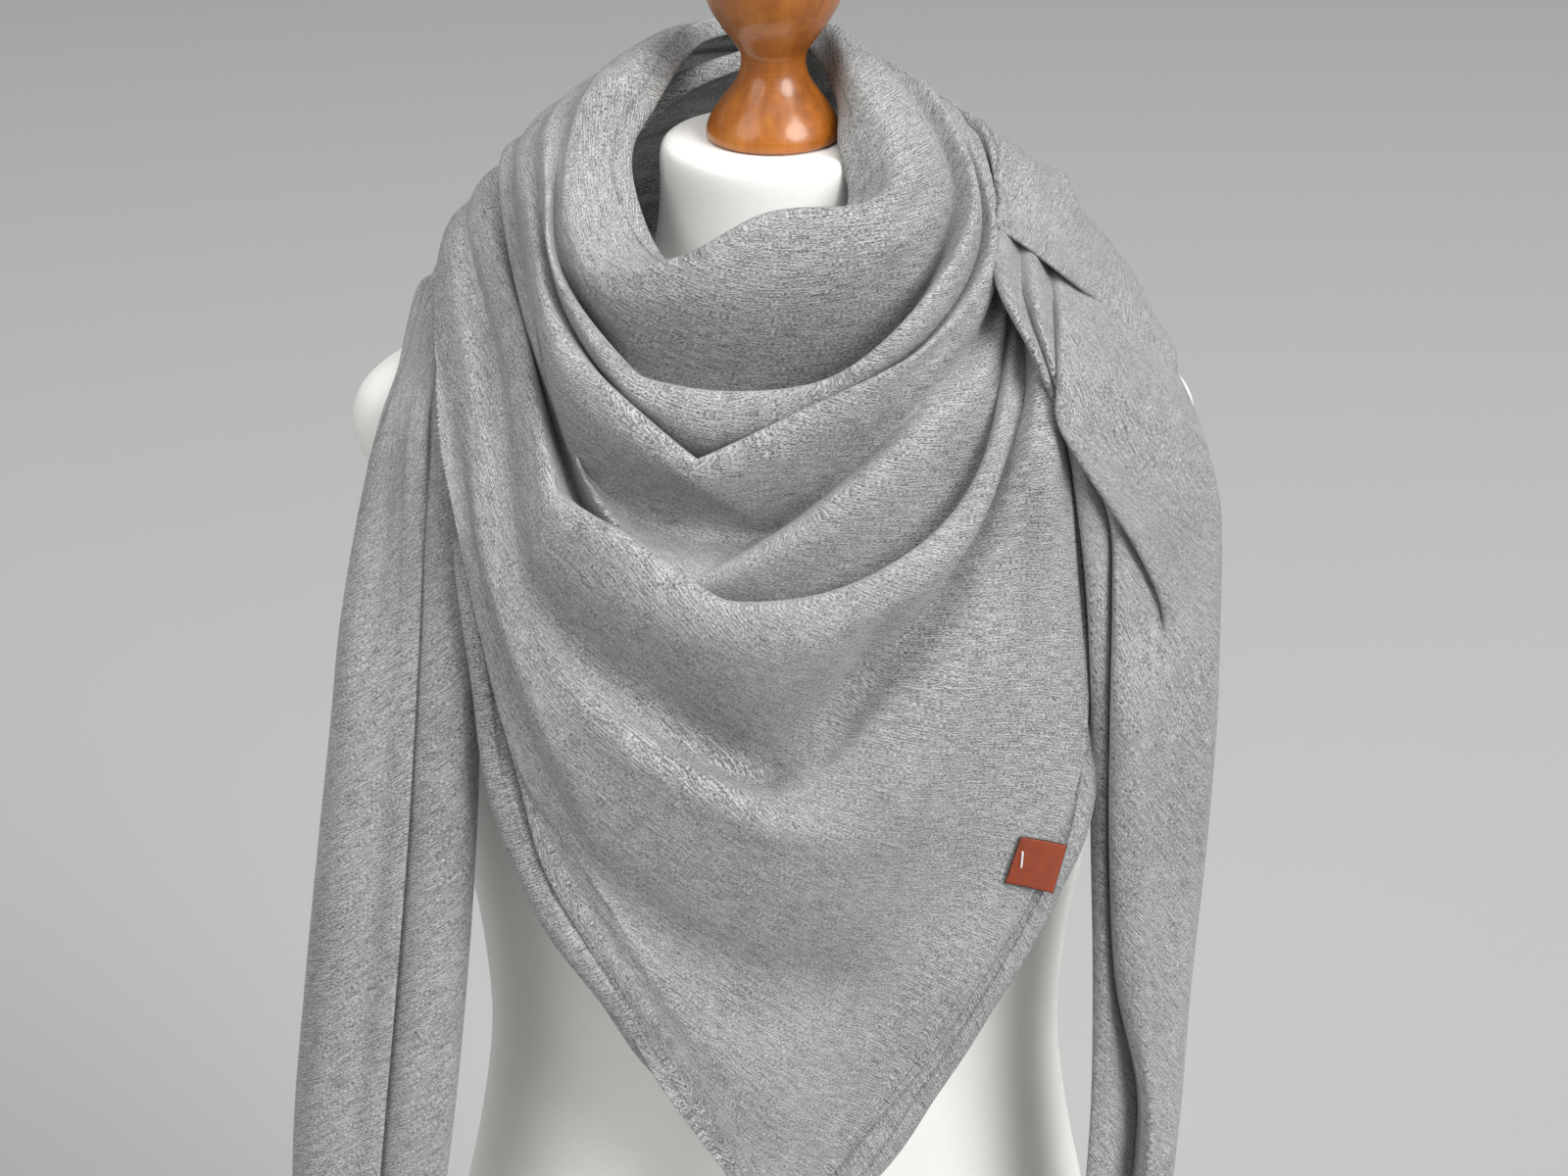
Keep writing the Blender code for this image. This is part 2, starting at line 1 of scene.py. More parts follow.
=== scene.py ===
"""Dressed model of a large triangular melange shawl on a limbless dress form.

The cloth is worn point in front: a cowl of stacked folds, two bands round the nape and two hanging
ends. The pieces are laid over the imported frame. Origin: centre of the base's underside on the floor,
front towards -Y, +X at the right of the picture, metres. Tables are millimetres, with heights measured
from the form's neck plate.
"""
from __future__ import annotations

import logging
import math
from dataclasses import dataclass, field
from enum import Enum

import bpy
import numpy as np
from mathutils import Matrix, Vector

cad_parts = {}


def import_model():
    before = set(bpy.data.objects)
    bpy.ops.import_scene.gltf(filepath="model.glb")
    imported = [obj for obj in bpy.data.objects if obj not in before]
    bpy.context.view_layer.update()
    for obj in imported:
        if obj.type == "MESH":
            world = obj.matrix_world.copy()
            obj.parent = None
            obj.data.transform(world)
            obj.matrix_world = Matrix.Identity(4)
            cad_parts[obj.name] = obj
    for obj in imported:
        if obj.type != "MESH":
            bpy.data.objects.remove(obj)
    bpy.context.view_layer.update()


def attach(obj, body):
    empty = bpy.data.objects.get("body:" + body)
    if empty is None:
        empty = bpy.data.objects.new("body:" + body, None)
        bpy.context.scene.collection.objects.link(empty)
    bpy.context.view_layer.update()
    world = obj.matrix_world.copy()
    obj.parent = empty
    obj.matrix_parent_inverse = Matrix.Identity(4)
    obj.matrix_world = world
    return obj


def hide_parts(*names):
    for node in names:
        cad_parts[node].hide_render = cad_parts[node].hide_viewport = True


log = logging.getLogger("shawl")

MM = 0.001
NECK_PLATE_Z = 0.960

Point = tuple[float, float, float]
Colour = tuple[float, float, float]

# Level rings of the form: height, half breadth, depth in front, depth behind, bust, squareness.
TORSO_RINGS = (
    (0, 48, 48, 48, 0, 2), (-1.6, 52.8, 52.8, 52.8, 0, 2), (-5.5, 54.5, 54.5, 54.5, 0, 2),
    (-30, 55, 55, 56, 0, 2), (-54, 58.5, 57, 61, 0, 2), (-70, 68, 60, 67, 0, 2), (-81, 90, 63, 72, 0, 2),
    (-91, 120, 65, 76, 0, 2), (-100, 150, 66, 79, 0, 2.1), (-108, 175, 67, 80, 0, 2.1),
    (-118, 194, 68, 81, 0, 2.1), (-129, 204.5, 69, 82, 0, 2.1), (-142, 208, 70, 83, 1, 2.1),
    (-158, 205, 73, 84, 3, 2.1), (-174, 196, 77, 85, 6, 2.1), (-192, 184, 84, 86, 10, 2.1),
    (-215, 176, 93, 87, 13, 2.1), (-245, 172, 103, 86, 15, 2.1), (-275, 172, 108, 85, 15, 2.1),
    (-310, 171, 103, 82, 11, 2.1), (-345, 167, 94, 79, 5, 2.1), (-385, 160, 88, 76, 1, 2.1),
    (-430, 153, 85, 75, 0, 2.1), (-482, 150, 85, 76, 0, 2.1), (-535, 156, 89, 84, 0, 2.1),
    (-590, 167, 96, 98, 0, 2.1), (-640, 177, 101, 108, 0, 2.1), (-680, 182, 103, 111, 0, 2.1),
    (-694, 181, 102, 110, 0, 2.1), (-700, 176, 98, 105, 0, 2.1),
)

# Turned profile of the neck knob: radius, height over the neck plate.
KNOB_PROFILE = (
    (30, 0.3), (32, 1.6), (32.4, 4.2), (31.4, 8.2), (29.2, 12.6), (26, 17.4), (22.2, 22.4), (18.6, 27.6),
    (16.2, 33), (15.4, 38.2), (16.2, 42.6), (19.6, 48), (25.4, 56), (31.2, 66), (34.8, 77), (34.6, 87.5),
    (30.8, 98), (23.8, 107.5), (14.6, 115), (6, 118.8),
)

# Folds of the front from the neckline to the point: name, nine places from the left shoulder to the
# right shoulder, each (x, y, height).
FRONT_FOLDS = (
    ("neckline", (-57, 0, 15), (-67, -18, 0), (-64, -44, -18), (-50, -60, -43), (-21, -66, -56),
        (10, -64, -42), (35, -56, -17), (31, -34, 5), (31, 0, 17)),
    ("inner_wall", (-68, 0, 31), (-80, -24, 7), (-83, -48, -10), (-66, -74, -33), (-31, -88, -41),
        (5, -86, -23), (47, -74, -8), (49, -40, 20), (35, 0, 37)),
    ("lip", (-87, 0, 25), (-95, -28, 4), (-95, -60, -14), (-80, -90, -34), (-44, -108, -25), (-2, -106, -4),
        (46, -92, -4), (71, -52, 6), (53, 0, 33)),
    ("belly_1", (-92, 0, 17), (-99, -34, -4), (-97, -70, -28), (-78, -98, -45), (-28, -113, -41),
        (21, -110, -31), (62, -94, -26), (80, -50, -5), (60, 0, 27)),
    ("valley_1", (-97, 0, 11), (-103, -40, -12), (-99, -72, -42), (-62, -88, -93), (-22, -86, -108),
        (29, -86, -98), (68, -82, -55), (85, -48, -14), (65, 0, 21)),
    ("ridge_1", (-106, 0, 9), (-106, -50, -10), (-100, -90, -38), (-62, -115, -80), (-25, -128, -83),
        (27, -124, -77), (71, -108, -43), (94, -62, -10), (73, 0, 25)),
    ("belly_2", (-109, 0, 6), (-107, -52, -15), (-97, -94, -48), (-65, -121, -85), (-30, -131, -100),
        (22, -126, -88), (71, -111, -53), (96, -65, -19), (77, 0, 21)),
    ("valley_2", (-112, 0, 2), (-109, -48, -22), (-96, -88, -59), (-68, -106, -99), (-34, -110, -130),
        (10, -112, -107), (71, -105, -65), (97, -60, -29), (81, 0, 16)),
    ("ridge_2", (-120, 0, -3), (-112, -60, -27), (-98, -106, -64), (-71, -128, -84), (-35, -138, -112),
        (7, -134, -93), (68, -120, -64), (102, -75, -32), (87, 0, 13)),
    ("belly_3", (-122, 0, -5), (-114, -64, -37), (-99, -112, -81), (-73, -131, -98), (-35, -139, -120),
        (10, -135, -104), (69, -122, -77), (103, -79, -44), (89, 0, 11)),
    ("valley_3", (-124, 0, -9), (-115, -56, -53), (-93, -104, -125), (-62, -110, -154), (-2, -113, -160),
        (33, -120, -126), (72, -113, -88), (101, -73, -58), (91, 0, 6)),
    ("ridge_3", (-131, 0, -13), (-117, -62, -67), (-85, -116, -135), (-63, -142, -154), (-35, -150, -167),
        (5, -148, -149), (67, -131, -105), (105, -91, -72), (98, 0, -1)),
    ("valley_4", (-126, 0, -27), (-119, -44, -75), (-92, -98, -149), (-66, -130, -165), (-23, -140, -191),
        (32, -138, -182), (89, -119, -140), (106, -93, -87), (102, 0, -25)),
    ("ridge_4", (-142, 0, -32), (-119, -66, -75), (-101, -130, -134), (-67, -157, -142), (-21, -170, -169),
        (30, -164, -166), (82, -141, -140), (109, -106, -91), (110, 0, -39)),
    ("belly_4", (-146, 0, -36), (-125, -70, -87), (-108, -134, -157), (-72, -164, -167), (-17, -176, -188),
        (34, -169, -181), (88, -144, -151), (112, -107, -94), (110, 0, -47)),
    ("valley_5", (-148, 0, -39), (-131, -62, -93), (-112, -128, -179), (-69, -146, -228), (-7, -147, -264),
        (35, -146, -228), (73, -133, -184), (116, -105, -99), (109, 0, -55)),
    ("fold_6", (-156, 0, -46), (-142, -72, -93), (-119, -128, -185), (-72, -159, -240), (-4, -171, -273),
        (44, -163, -240), (92, -139, -192), (122, -113, -91), (119, 0, -60)),
    ("band_7", (-161, 0, -55), (-147, -72, -99), (-128, -128, -191), (-81, -157, -268), (7, -171, -304),
        (69, -160, -279), (112, -138, -210), (129, -117, -100), (129, 0, -75)),
    ("panel_8", (-158, -82, -122), (-142, -108, -168), (-121, -131, -224), (-78, -153, -298),
        (4, -161, -341), (74, -154, -306), (118, -138, -238), (134, -118, -137), (139, -94, -115)),
    ("panel_9", (-145, -108, -177), (-133, -122, -216), (-112, -138, -266), (-70, -147, -331),
        (3, -151, -376), (74, -147, -335), (117, -141, -270), (139, -121, -194), (147, -100, -178)),
    ("panel_10", (-134, -120, -228), (-124, -132, -261), (-98, -143, -305), (-60, -147, -359),
        (2, -149, -402), (68, -147, -362), (112, -143, -304), (143, -127, -254), (150, -113, -233)),
    ("panel_11", (-123, -130, -272), (-109, -139, -298), (-82, -147, -337), (-49, -151, -380),
        (2, -154, -419), (58, -151, -384), (101, -147, -340), (134, -136, -302), (147, -127, -275)),
    ("panel_12", (-111, -138, -322), (-91, -145, -343), (-67, -150, -372), (-38, -155, -405),
        (1, -158, -437), (48, -155, -409), (86, -150, -376), (114, -145, -348), (130, -141, -323)),
    ("point_1", (-86, -144, -370), (-70, -150, -384), (-49, -153, -408), (-27, -156, -434), (1, -159, -462),
        (35, -156, -438), (64, -153, -413), (88, -150, -391), (101, -147, -377)),
    ("point_2", (-62, -151, -424), (-45, -153, -432), (-29, -156, -446), (-16, -158, -466), (1, -160, -489),
        (23, -158, -470), (43, -156, -452), (60, -153, -436), (69, -152, -430)),
    ("apex", (-23, -158, -484), (-17, -158, -492), (-12, -159, -502), (-6, -161, -513), (0, -162, -522),
        (8, -161, -512), (16, -160, -500), (22, -158, -492), (27, -158, -482)),
)

# Sharp turns of the folds where the cloth hangs in a V or a corner: row, place, sharpness.
SHARP_TURNS = (
    ("valley_1", 3, 0.6), ("ridge_1", 3, 0.7), ("belly_2", 3, 0.5), ("valley_2", 4, 0.8),
    ("ridge_2", 4, 0.85), ("belly_3", 4, 0.55), ("ridge_2", 3, 0.4), ("valley_3", 4, 0.8),
    ("ridge_3", 4, 0.85), ("valley_3", 2, 0.5), ("ridge_3", 2, 0.5), ("valley_5", 4, 0.5),
    ("fold_6", 4, 0.4), ("valley_4", 2, 0.6), ("ridge_4", 2, 0.9), ("belly_4", 2, 0.6), ("ridge_4", 4, 0.5),
    ("valley_4", 4, 0.5),
)

# Where the upper rows of the front go on in the strands: fourteen whole places and the bellies between.
STRAND_PLACES = (0, 1, 2, 2.5, 3, 4, 4.5, 5, 6, 6.5, 7, 8, 9, 10, 10.5, 11, 12, 13)

# Pleats across a band behind the neck, under its rolled edge: how far across, how far out (1) or in (-1).
BAND_PLEATS = (
    (0, 0), (0.09, -0.5), (0.18, 0.3), (0.26, -0.3), (0.35, 0.9), (0.46, -0.8), (0.54, 0.1), (0.62, -0.3),
    (0.72, 1), (0.83, -0.6), (0.93, 0.4), (1, -0.7),
)

# Stations of a band: name, its rolled edge (inside, top, outside), lower edge, bulge, pleat depth.
OUTER_BAND = (
    ("left of the nape", ((-45, 40, 24), (-54, 44, 37), (-68, 48, 30)), (-150, 60, -64), 6.0, 3.5),
    ("behind left", ((-32, 78, 26), (-34, 84, 33), (-41, 92, 27)), (-80, 126, -74), 6.0, 6.5),
    ("nape", ((-6, 97, 24), (-5, 100, 31), (-3, 106, 27)), (8, 144, -86), 5.0, 7.0),
    ("behind right", ((50, 88, 8), (51, 89, 11), (54, 90, 12)), (92, 130, -102), 6.0, 7.0),
    ("right of the nape", ((79, 45, 2), (80, 45, 5), (82, 46, 6)), (172, 92, -120), 9.0, 3.0),
    ("right shoulder", ((99, 2, -7), (100, 3, -2), (102, 4, 1)), (196, 4, -114), 12.0, 1.2),
)

INNER_BAND = (
    ("right of the nape", ((20, 40, 30), (28, 44, 43), (40, 46, 33)), (116, 52, -80), 6.0, 3.5),
    ("behind right", ((12, 66, 27), (14, 71, 36), (22, 78, 32)), (74, 100, -88), 4.0, 5.0),
    ("nape", ((-10, 72, 15), (-10, 77, 22), (-10, 83, 18)), (-6, 112, -92), 4.0, 5.0),
    ("behind left", ((-41, 60, 5), (-45, 64, 11), (-51, 71, 8)), (-90, 106, -106), 4.0, 4.0),
    ("left of the nape", ((-66, 38, -10), (-70, 41, -6), (-76, 45, -10)), (-168, 84, -124), 5.0, 3.0),
    ("left shoulder", ((-110, 6, -54), (-114, 7, -57), (-120, 8, -62)), (-176, 16, -84), 9.0, 2.5),
)

# A tail's pleats seen from above: across from the inner side, back from the front of the tail.
RIGHT_LIP = (
    (0.2, 1), (0.1, 0.75), (0, 0.35), (0.05, 0.05), (0.13, 0.08), (0.19, 0), (0.25, -0.12), (0.31, -0.2),
    (0.37, -0.16), (0.46, -0.04), (0.66, 0), (0.86, 0.05), (1, 0.35), (0.9, 0.75),
)
RIGHT_TUCK = (
    (0.2, 1), (0.1, 0.8), (0, 0.5), (0.04, 0.16), (0.11, 0.56), (0.17, 0.22), (0.24, 0.72), (0.3, 0.46),
    (0.36, 0.36), (0.45, 0.08), (0.66, 0), (0.86, 0.05), (1, 0.35), (0.9, 0.75),
)
RIGHT_GATHERS = (
    (0.2, 1), (0.1, 0.8), (0, 0.52), (0.04, 0.14), (0.1, 0.7), (0.16, 0.08), (0.23, 0.66), (0.27, 0.08),
    (0.35, 0), (0.49, 0.02), (0.68, 0), (0.85, 0.05), (1, 0.35), (0.9, 0.75),
)
RIGHT_PINCH = (
    (0.18, 1), (0.09, 0.85), (0, 0.6), (0.02, 0.34), (0.05, 0.62), (0.08, 0.34), (0.11, 0.58), (0.12, 0.1),
    (0.2, 0), (0.36, 0.02), (0.58, 0), (0.82, 0.05), (1, 0.38), (0.86, 0.76),
)
RIGHT_KNOT = (
    (0.2, 1), (0.1, 0.88), (0.01, 0.7), (0.02, 0.5), (0.05, 0.56), (0.07, 0.5), (0.08, 0.36), (0.01, 0.1),
    (0.08, 0), (0.28, 0.02), (0.54, 0), (0.8, 0.05), (1, 0.4), (0.86, 0.76),
)
RIGHT_OVERLAP = (
    (0.28, 1), (0.12, 0.8), (0, 0.56), (0.05, 0.4), (0.11, 0.48), (0.15, 0.38), (0.18, 0.3), (0.08, 0.06),
    (0.15, 0), (0.38, 0.02), (0.66, 0), (0.92, 0.1), (1, 0.42), (0.84, 0.77),
)
RIGHT_UNDERLAP = (
    (0.3, 1), (0.12, 0.8), (0, 0.56), (0.1, 0.4), (0.22, 0.52), (0.24, 0.3), (0.45, 0.28), (0.4, 0.05),
    (0.48, 0), (0.6, 0.02), (0.77, 0), (0.94, 0.1), (1, 0.42), (0.84, 0.77),
)
RIGHT_BUST = (
    (0.3, 1), (0.12, 0.8), (0, 0.56), (0.1, 0.4), (0.19, 0.52), (0.21, 0.18), (0.55, 0.15), (0.58, 0.05),
    (0.68, 0), (0.77, 0), (0.87, 0.03), (0.95, 0.12), (1, 0.43), (0.82, 0.78),
)
RIGHT_TAIL_PLEATS = (
    (0.3, 1), (0.12, 0.8), (0, 0.56), (0.08, 0.4), (0.15, 0.52), (0.17, 0.14), (0.33, 0), (0.47, 0.02),
    (0.6, 0.03), (0.72, 0), (0.84, 0.03), (0.95, 0.14), (1, 0.44), (0.8, 0.78),
)
RIGHT_HIP = (
    (0.3, 1), (0.12, 0.8), (0, 0.56), (0.09, 0.42), (0.2, 0.52), (0.27, 0.16), (0.42, 0), (0.54, 0.02),
    (0.64, 0.02), (0.74, 0), (0.85, 0.03), (0.95, 0.14), (1, 0.44), (0.8, 0.78),
)
RIGHT_FAN = (
    (0.3, 1), (0.12, 0.86), (0, 0.62), (0.19, 0.48), (0.52, 0.64), (0.58, 0.14), (0.64, 0), (0.7, 0.01),
    (0.77, 0.02), (0.83, 0), (0.89, 0.04), (0.95, 0.14), (1, 0.44), (0.84, 0.78),
)
LEFT_TAIL_PLEATS = (
    (0.14, 0.84), (0, 0.52), (0.05, 0.24), (0.16, 0.08), (0.3, 0.03), (0.45, 0.17), (0.47, 0.1),
    (0.43, 0.03), (0.5, 0), (0.6, 0.03), (0.71, 0), (0.9, 0.06), (1, 0.42), (0.74, 0.86),
)

# Stations of a tail going down: name, inner side, outer side, depth, how far folded, bulge, pleats.
RIGHT_TAIL = (
    ("over the shoulder", (102, -48, -21), (197, -22, -105), 12.0, 0.8, 8.0, RIGHT_LIP),
    ("lip of the tuck", (102, -62, -23), (196, -32, -112), 16.0, 0.9, 8.0, RIGHT_LIP),
    ("under the tuck", (103, -64, -24), (197, -33, -114), 26.0, 0.95, 8.0, RIGHT_TUCK),
    ("front of the shoulder", (104, -104, -44), (204, -50, -128), 32.0, 1.0, 8.0, RIGHT_GATHERS),
    ("pinch", (120, -122, -71), (210, -68, -145), 24.0, 1.0, 6.0, RIGHT_PINCH),
    ("knot", (130, -126, -96), (214, -76, -162), 28.0, 1.0, 4.0, RIGHT_KNOT),
    ("chest", (138, -128, -117), (215, -82, -181), 30.0, 1.0, 2.0, RIGHT_OVERLAP),
    ("under the chest", (143, -131, -146), (215, -88, -200), 34.0, 1.0, 0.0, RIGHT_UNDERLAP),
    ("bust", (148, -134, -183), (215, -93, -224), 36.0, 1.0, 0.0, RIGHT_BUST),
    ("ribs", (152, -138, -236), (215, -100, -265), 38.0, 1.0, 0.0, RIGHT_TAIL_PLEATS),
    ("waist", (155, -136, -316), (213, -100, -340), 40.0, 1.0, 0.0, RIGHT_TAIL_PLEATS),
    ("hip", (159, -134, -395), (209, -100, -418), 42.0, 1.0, 0.0, RIGHT_HIP),
    ("under the hip", (161, -134, -470), (207, -100, -490), 40.0, 1.0, 0.0, RIGHT_FAN),
    ("low", (159, -132, -560), (202, -102, -575), 38.0, 1.0, 0.0, RIGHT_FAN),
    ("taper", (160, -129, -650), (199, -106, -664), 35.0, 1.0, 0.0, RIGHT_FAN),
    ("corner", (162, -127, -714), (199, -108, -742), 34.0, 1.0, 0.0, RIGHT_FAN),
)
LEFT_TAIL = (
    ("over the shoulder", (-128, -26, -80), (-185, -15, -111), 5.0, 0.12, 8.0, LEFT_TAIL_PLEATS),
    ("front of the shoulder", (-137, -68, -116), (-193, -50, -130), 14.0, 0.45, 5.0, LEFT_TAIL_PLEATS),
    ("chest", (-142, -88, -156), (-200, -68, -170), 20.0, 0.95, 2.0, LEFT_TAIL_PLEATS),
    ("bust", (-141, -99, -206), (-210, -82, -224), 28.0, 1.0, 0.0, LEFT_TAIL_PLEATS),
    ("ribs", (-143, -110, -256), (-216, -92, -273), 34.0, 1.0, 0.0, LEFT_TAIL_PLEATS),
    ("waist", (-146, -118, -316), (-224, -96, -331), 38.0, 1.0, 0.0, LEFT_TAIL_PLEATS),
    ("hip", (-154, -120, -405), (-236, -98, -420), 42.0, 1.0, 0.0, LEFT_TAIL_PLEATS),
    ("under the hip", (-164, -120, -490), (-246, -98, -504), 40.0, 1.0, 0.0, LEFT_TAIL_PLEATS),
    ("low", (-176, -118, -570), (-250, -100, -582), 38.0, 1.0, 0.0, LEFT_TAIL_PLEATS),
    ("taper", (-190, -114, -655), (-250, -100, -664), 34.0, 1.0, 0.0, LEFT_TAIL_PLEATS),
    ("corner", (-198, -113, -714), (-250, -102, -742), 35.0, 1.0, 0.0, LEFT_TAIL_PLEATS),
)

# The lower layer where it shows beside the front: inner edge, outer edge, going down.
LEFT_UNDER_LAYER = (
    ((-140, -70, -154), (-153, -66, -158)), ((-136, -100, -187), (-151, -97, -183)),
    ((-128, -112, -238), (-144, -110, -237)), ((-118, -123, -285), (-138, -121, -286)),
    ((-105, -131, -323), (-126, -130, -324)), ((-86, -138, -360), (-110, -137, -358)),
    ((-64, -144, -395), (-84, -144, -393)), ((-43, -146, -427), (-64, -147, -425)),
    ((-24, -147, -454), (-41, -147, -450)),
)
RIGHT_UNDER_LAYER = (
    ((138, -100, -192), (152, -94, -216)), ((138, -110, -239), (155, -106, -250)),
    ((134, -120, -281), (156, -117, -281)), ((123, -129, -314), (150, -127, -312)),
    ((110, -135, -340), (138, -134, -338)), ((93, -139, -370), (122, -139, -371)),
    ((76, -143, -398), (106, -143, -399)), ((60, -145, -422), (93, -146, -422)),
    ((46, -147, -443), (79, -148, -445)), ((29, -149, -470), (63, -150, -473)),
    ((17, -151, -492), (49, -151, -492)), ((5, -153, -513), (29, -152, -517)),
)


# Easing a pattern flat: strides over the grid and the rounds at each, how far a round goes past its
# own push, and the shortest thread in metres.
EASING = ((3, 420), (1, 90))
EASING_PACE = 1.5
SHORTEST = 1e-7


class Side(Enum):
    """The shoulder that a strand of the cloth starts from."""

    LEFT = "left"
    RIGHT = "right"


# ---------------------------------------------------------------- curves, grids and meshes


def placed(points: np.ndarray) -> np.ndarray:
    """Table points in millimetres from the neck plate, as metres from the floor."""
    return np.asarray(points, float) * MM + np.array((0.0, 0.0, NECK_PLATE_Z))


def smooth_step(low: float, high: float, value: np.ndarray) -> np.ndarray:
    """A soft rise from 0 at low to 1 at high."""
    t = np.clip((np.asarray(value, float) - low) / (high - low), 0.0, 1.0)
    return t * t * (3.0 - 2.0 * t)


def smooth_through(points: np.ndarray, at: np.ndarray, crisp: np.ndarray | None = None) -> np.ndarray:
    """A smooth curve through a row of points, with close folds kept crisp.

    Args:
        points: The points along the first axis.
        at: Places along the row, where 0 is the first point.
        crisp: How sharply the curve turns at each point, from 0 to 1.

    Returns:
        The curve's points at those places.
    """
    points = np.asarray(points, float)
    steps = np.linalg.norm(np.diff(points, axis=0), axis=-1)
    steps = np.sqrt(np.maximum(steps, 1e-6))
    slope = np.diff(points, axis=0) / steps[..., None]
    tangent = np.empty_like(points)
    tangent[0] = slope[0]
    tangent[-1] = slope[-1]
    before = steps[:-1, ..., None]
    after = steps[1:, ..., None]
    tangent[1:-1] = (slope[1:] * before + slope[:-1] * after) / (before + after)
    if crisp is not None:
        tangent *= (1.0 - crisp)[..., None]
    at = np.clip(np.asarray(at, float), 0.0, len(points) - 1.0)
    low = np.minimum(at.astype(int), len(points) - 2)
    t = (at - low).reshape((-1,) + (1,) * (points.ndim - 1))
    span = steps[low][..., None]
    return (
        points[low] * (1 + 2 * t) * (1 - t) ** 2
        + points[low + 1] * t * t * (3 - 2 * t)
        + span * tangent[low] * t * (1 - t) ** 2
        + span * tangent[low + 1] * t * t * (t - 1)
    )


def surface(
    controls: np.ndarray, down: np.ndarray, across: np.ndarray, crisp: np.ndarray | None = None
) -> np.ndarray:
    """A grid of points over a table of rows, read at places down and across it.

    Args:
        controls: Rows of points.
        down: Places down the rows.
        across: Places across each row.
        crisp: How sharply each row turns at its points, from 0 to 1.

    Returns:
        The points.
    """
    rows = smooth_through(controls, down)
    if crisp is not None:
        low = np.minimum(down.astype(int), len(crisp) - 2)
        share = (down - low)[:, None]
        crisp = (crisp[low] * (1.0 - share) + crisp[low + 1] * share).T
    return np.swapaxes(smooth_through(np.swapaxes(rows, 0, 1), across, crisp), 0, 1)


def unit(vectors: np.ndarray) -> np.ndarray:
    """Vectors brought to length 1."""
    return vectors / np.linalg.norm(vectors, axis=-1, keepdims=True)


def numbered(grid: np.ndarray, first: int = 0) -> np.ndarray:
    """A number for each point of a grid, row by row."""
    return first + np.arange(grid.shape[0] * grid.shape[1]).reshape(grid.shape[:2])


def run_length(grid: np.ndarray, axis: int) -> np.ndarray:
    """The length run along one axis of a grid, from its first line of points."""
    steps = np.linalg.norm(np.diff(grid, axis=axis), axis=-1)
    first = np.zeros_like(np.take(steps, [0], axis=axis))
    return np.concatenate([first, np.cumsum(steps, axis=axis)], axis=axis)


def filled_in(values: np.ndarray, known: np.ndarray, count: int) -> np.ndarray:
    """Rows of values at known places, read at every whole place below a count."""
    return np.stack([np.interp(np.arange(count), known, row) for row in values])


def laid_flat(grid: np.ndarray, uv: np.ndarray, pinned: bool = False) -> np.ndarray:
    """Pattern coordinates eased until the threads between neighbouring points keep their own lengths.

    Args:
        grid: The cloth's points in millimetres.
        uv: First pattern coordinates in metres.
        pinned: Whether the first row stays where it is.

    Returns:
        The eased coordinates in metres.
    """
    uv = uv.copy()
    for stride, rounds in EASING:
        rows, places = (np.unique(np.append(np.arange(0, n, stride), n - 1)) for n in grid.shape[:2])
        kept = np.ix_(rows, places)
        points, flat = grid[kept] * MM, uv[kept].copy()
        held = flat[0].copy()
        every, low, high = slice(None), slice(None, -1), slice(1, None)
        pairs = [((every, low), (every, high)), ((low, every), (high, every)),
                 ((low, low), (high, high)), ((low, high), (high, low))]
        rest = [np.linalg.norm(points[b] - points[a], axis=-1, keepdims=True) for a, b in pairs]
        ties = np.zeros(flat.shape)
        for a, b in pairs:
            ties[a] += 1.0
            ties[b] += 1.0
        for _ in range(rounds):
            push = np.zeros(flat.shape)
            for (a, b), length in zip(pairs, rest):
                gap = flat[b] - flat[a]
                now = np.maximum(np.linalg.norm(gap, axis=-1, keepdims=True), SHORTEST)
                move = gap * (0.5 - 0.5 * length / now)
                push[a] += move
                push[b] -= move
            flat += EASING_PACE * push / ties
            if pinned:
                flat[0] = held
        moved = flat - uv[kept]
        for k in range(2):
            down = filled_in(moved[..., k].T, rows, grid.shape[0])
            uv[..., k] += filled_in(down.T, places, grid.shape[1])
    return uv


def quads_of(index: np.ndarray, flip: bool = False) -> np.ndarray:
    """The four-cornered faces of a grid of vertex numbers."""
    corners = [index[:-1, :-1], index[1:, :-1], index[1:, 1:], index[:-1, 1:]]
    quads = np.stack(corners, axis=-1).reshape(-1, 4)
    return quads[:, ::-1] if flip else quads


def normals_of(points: np.ndarray, quads: np.ndarray) -> np.ndarray:
    """The way out at each vertex of a mesh of quads."""
    corner = points[quads]
    face = np.cross(corner[:, 2] - corner[:, 0], corner[:, 3] - corner[:, 1])
    out = np.zeros_like(points)
    for k in range(4):
        np.add.at(out, quads[:, k], face)
    return out / np.maximum(np.linalg.norm(out, axis=1, keepdims=True), 1e-12)


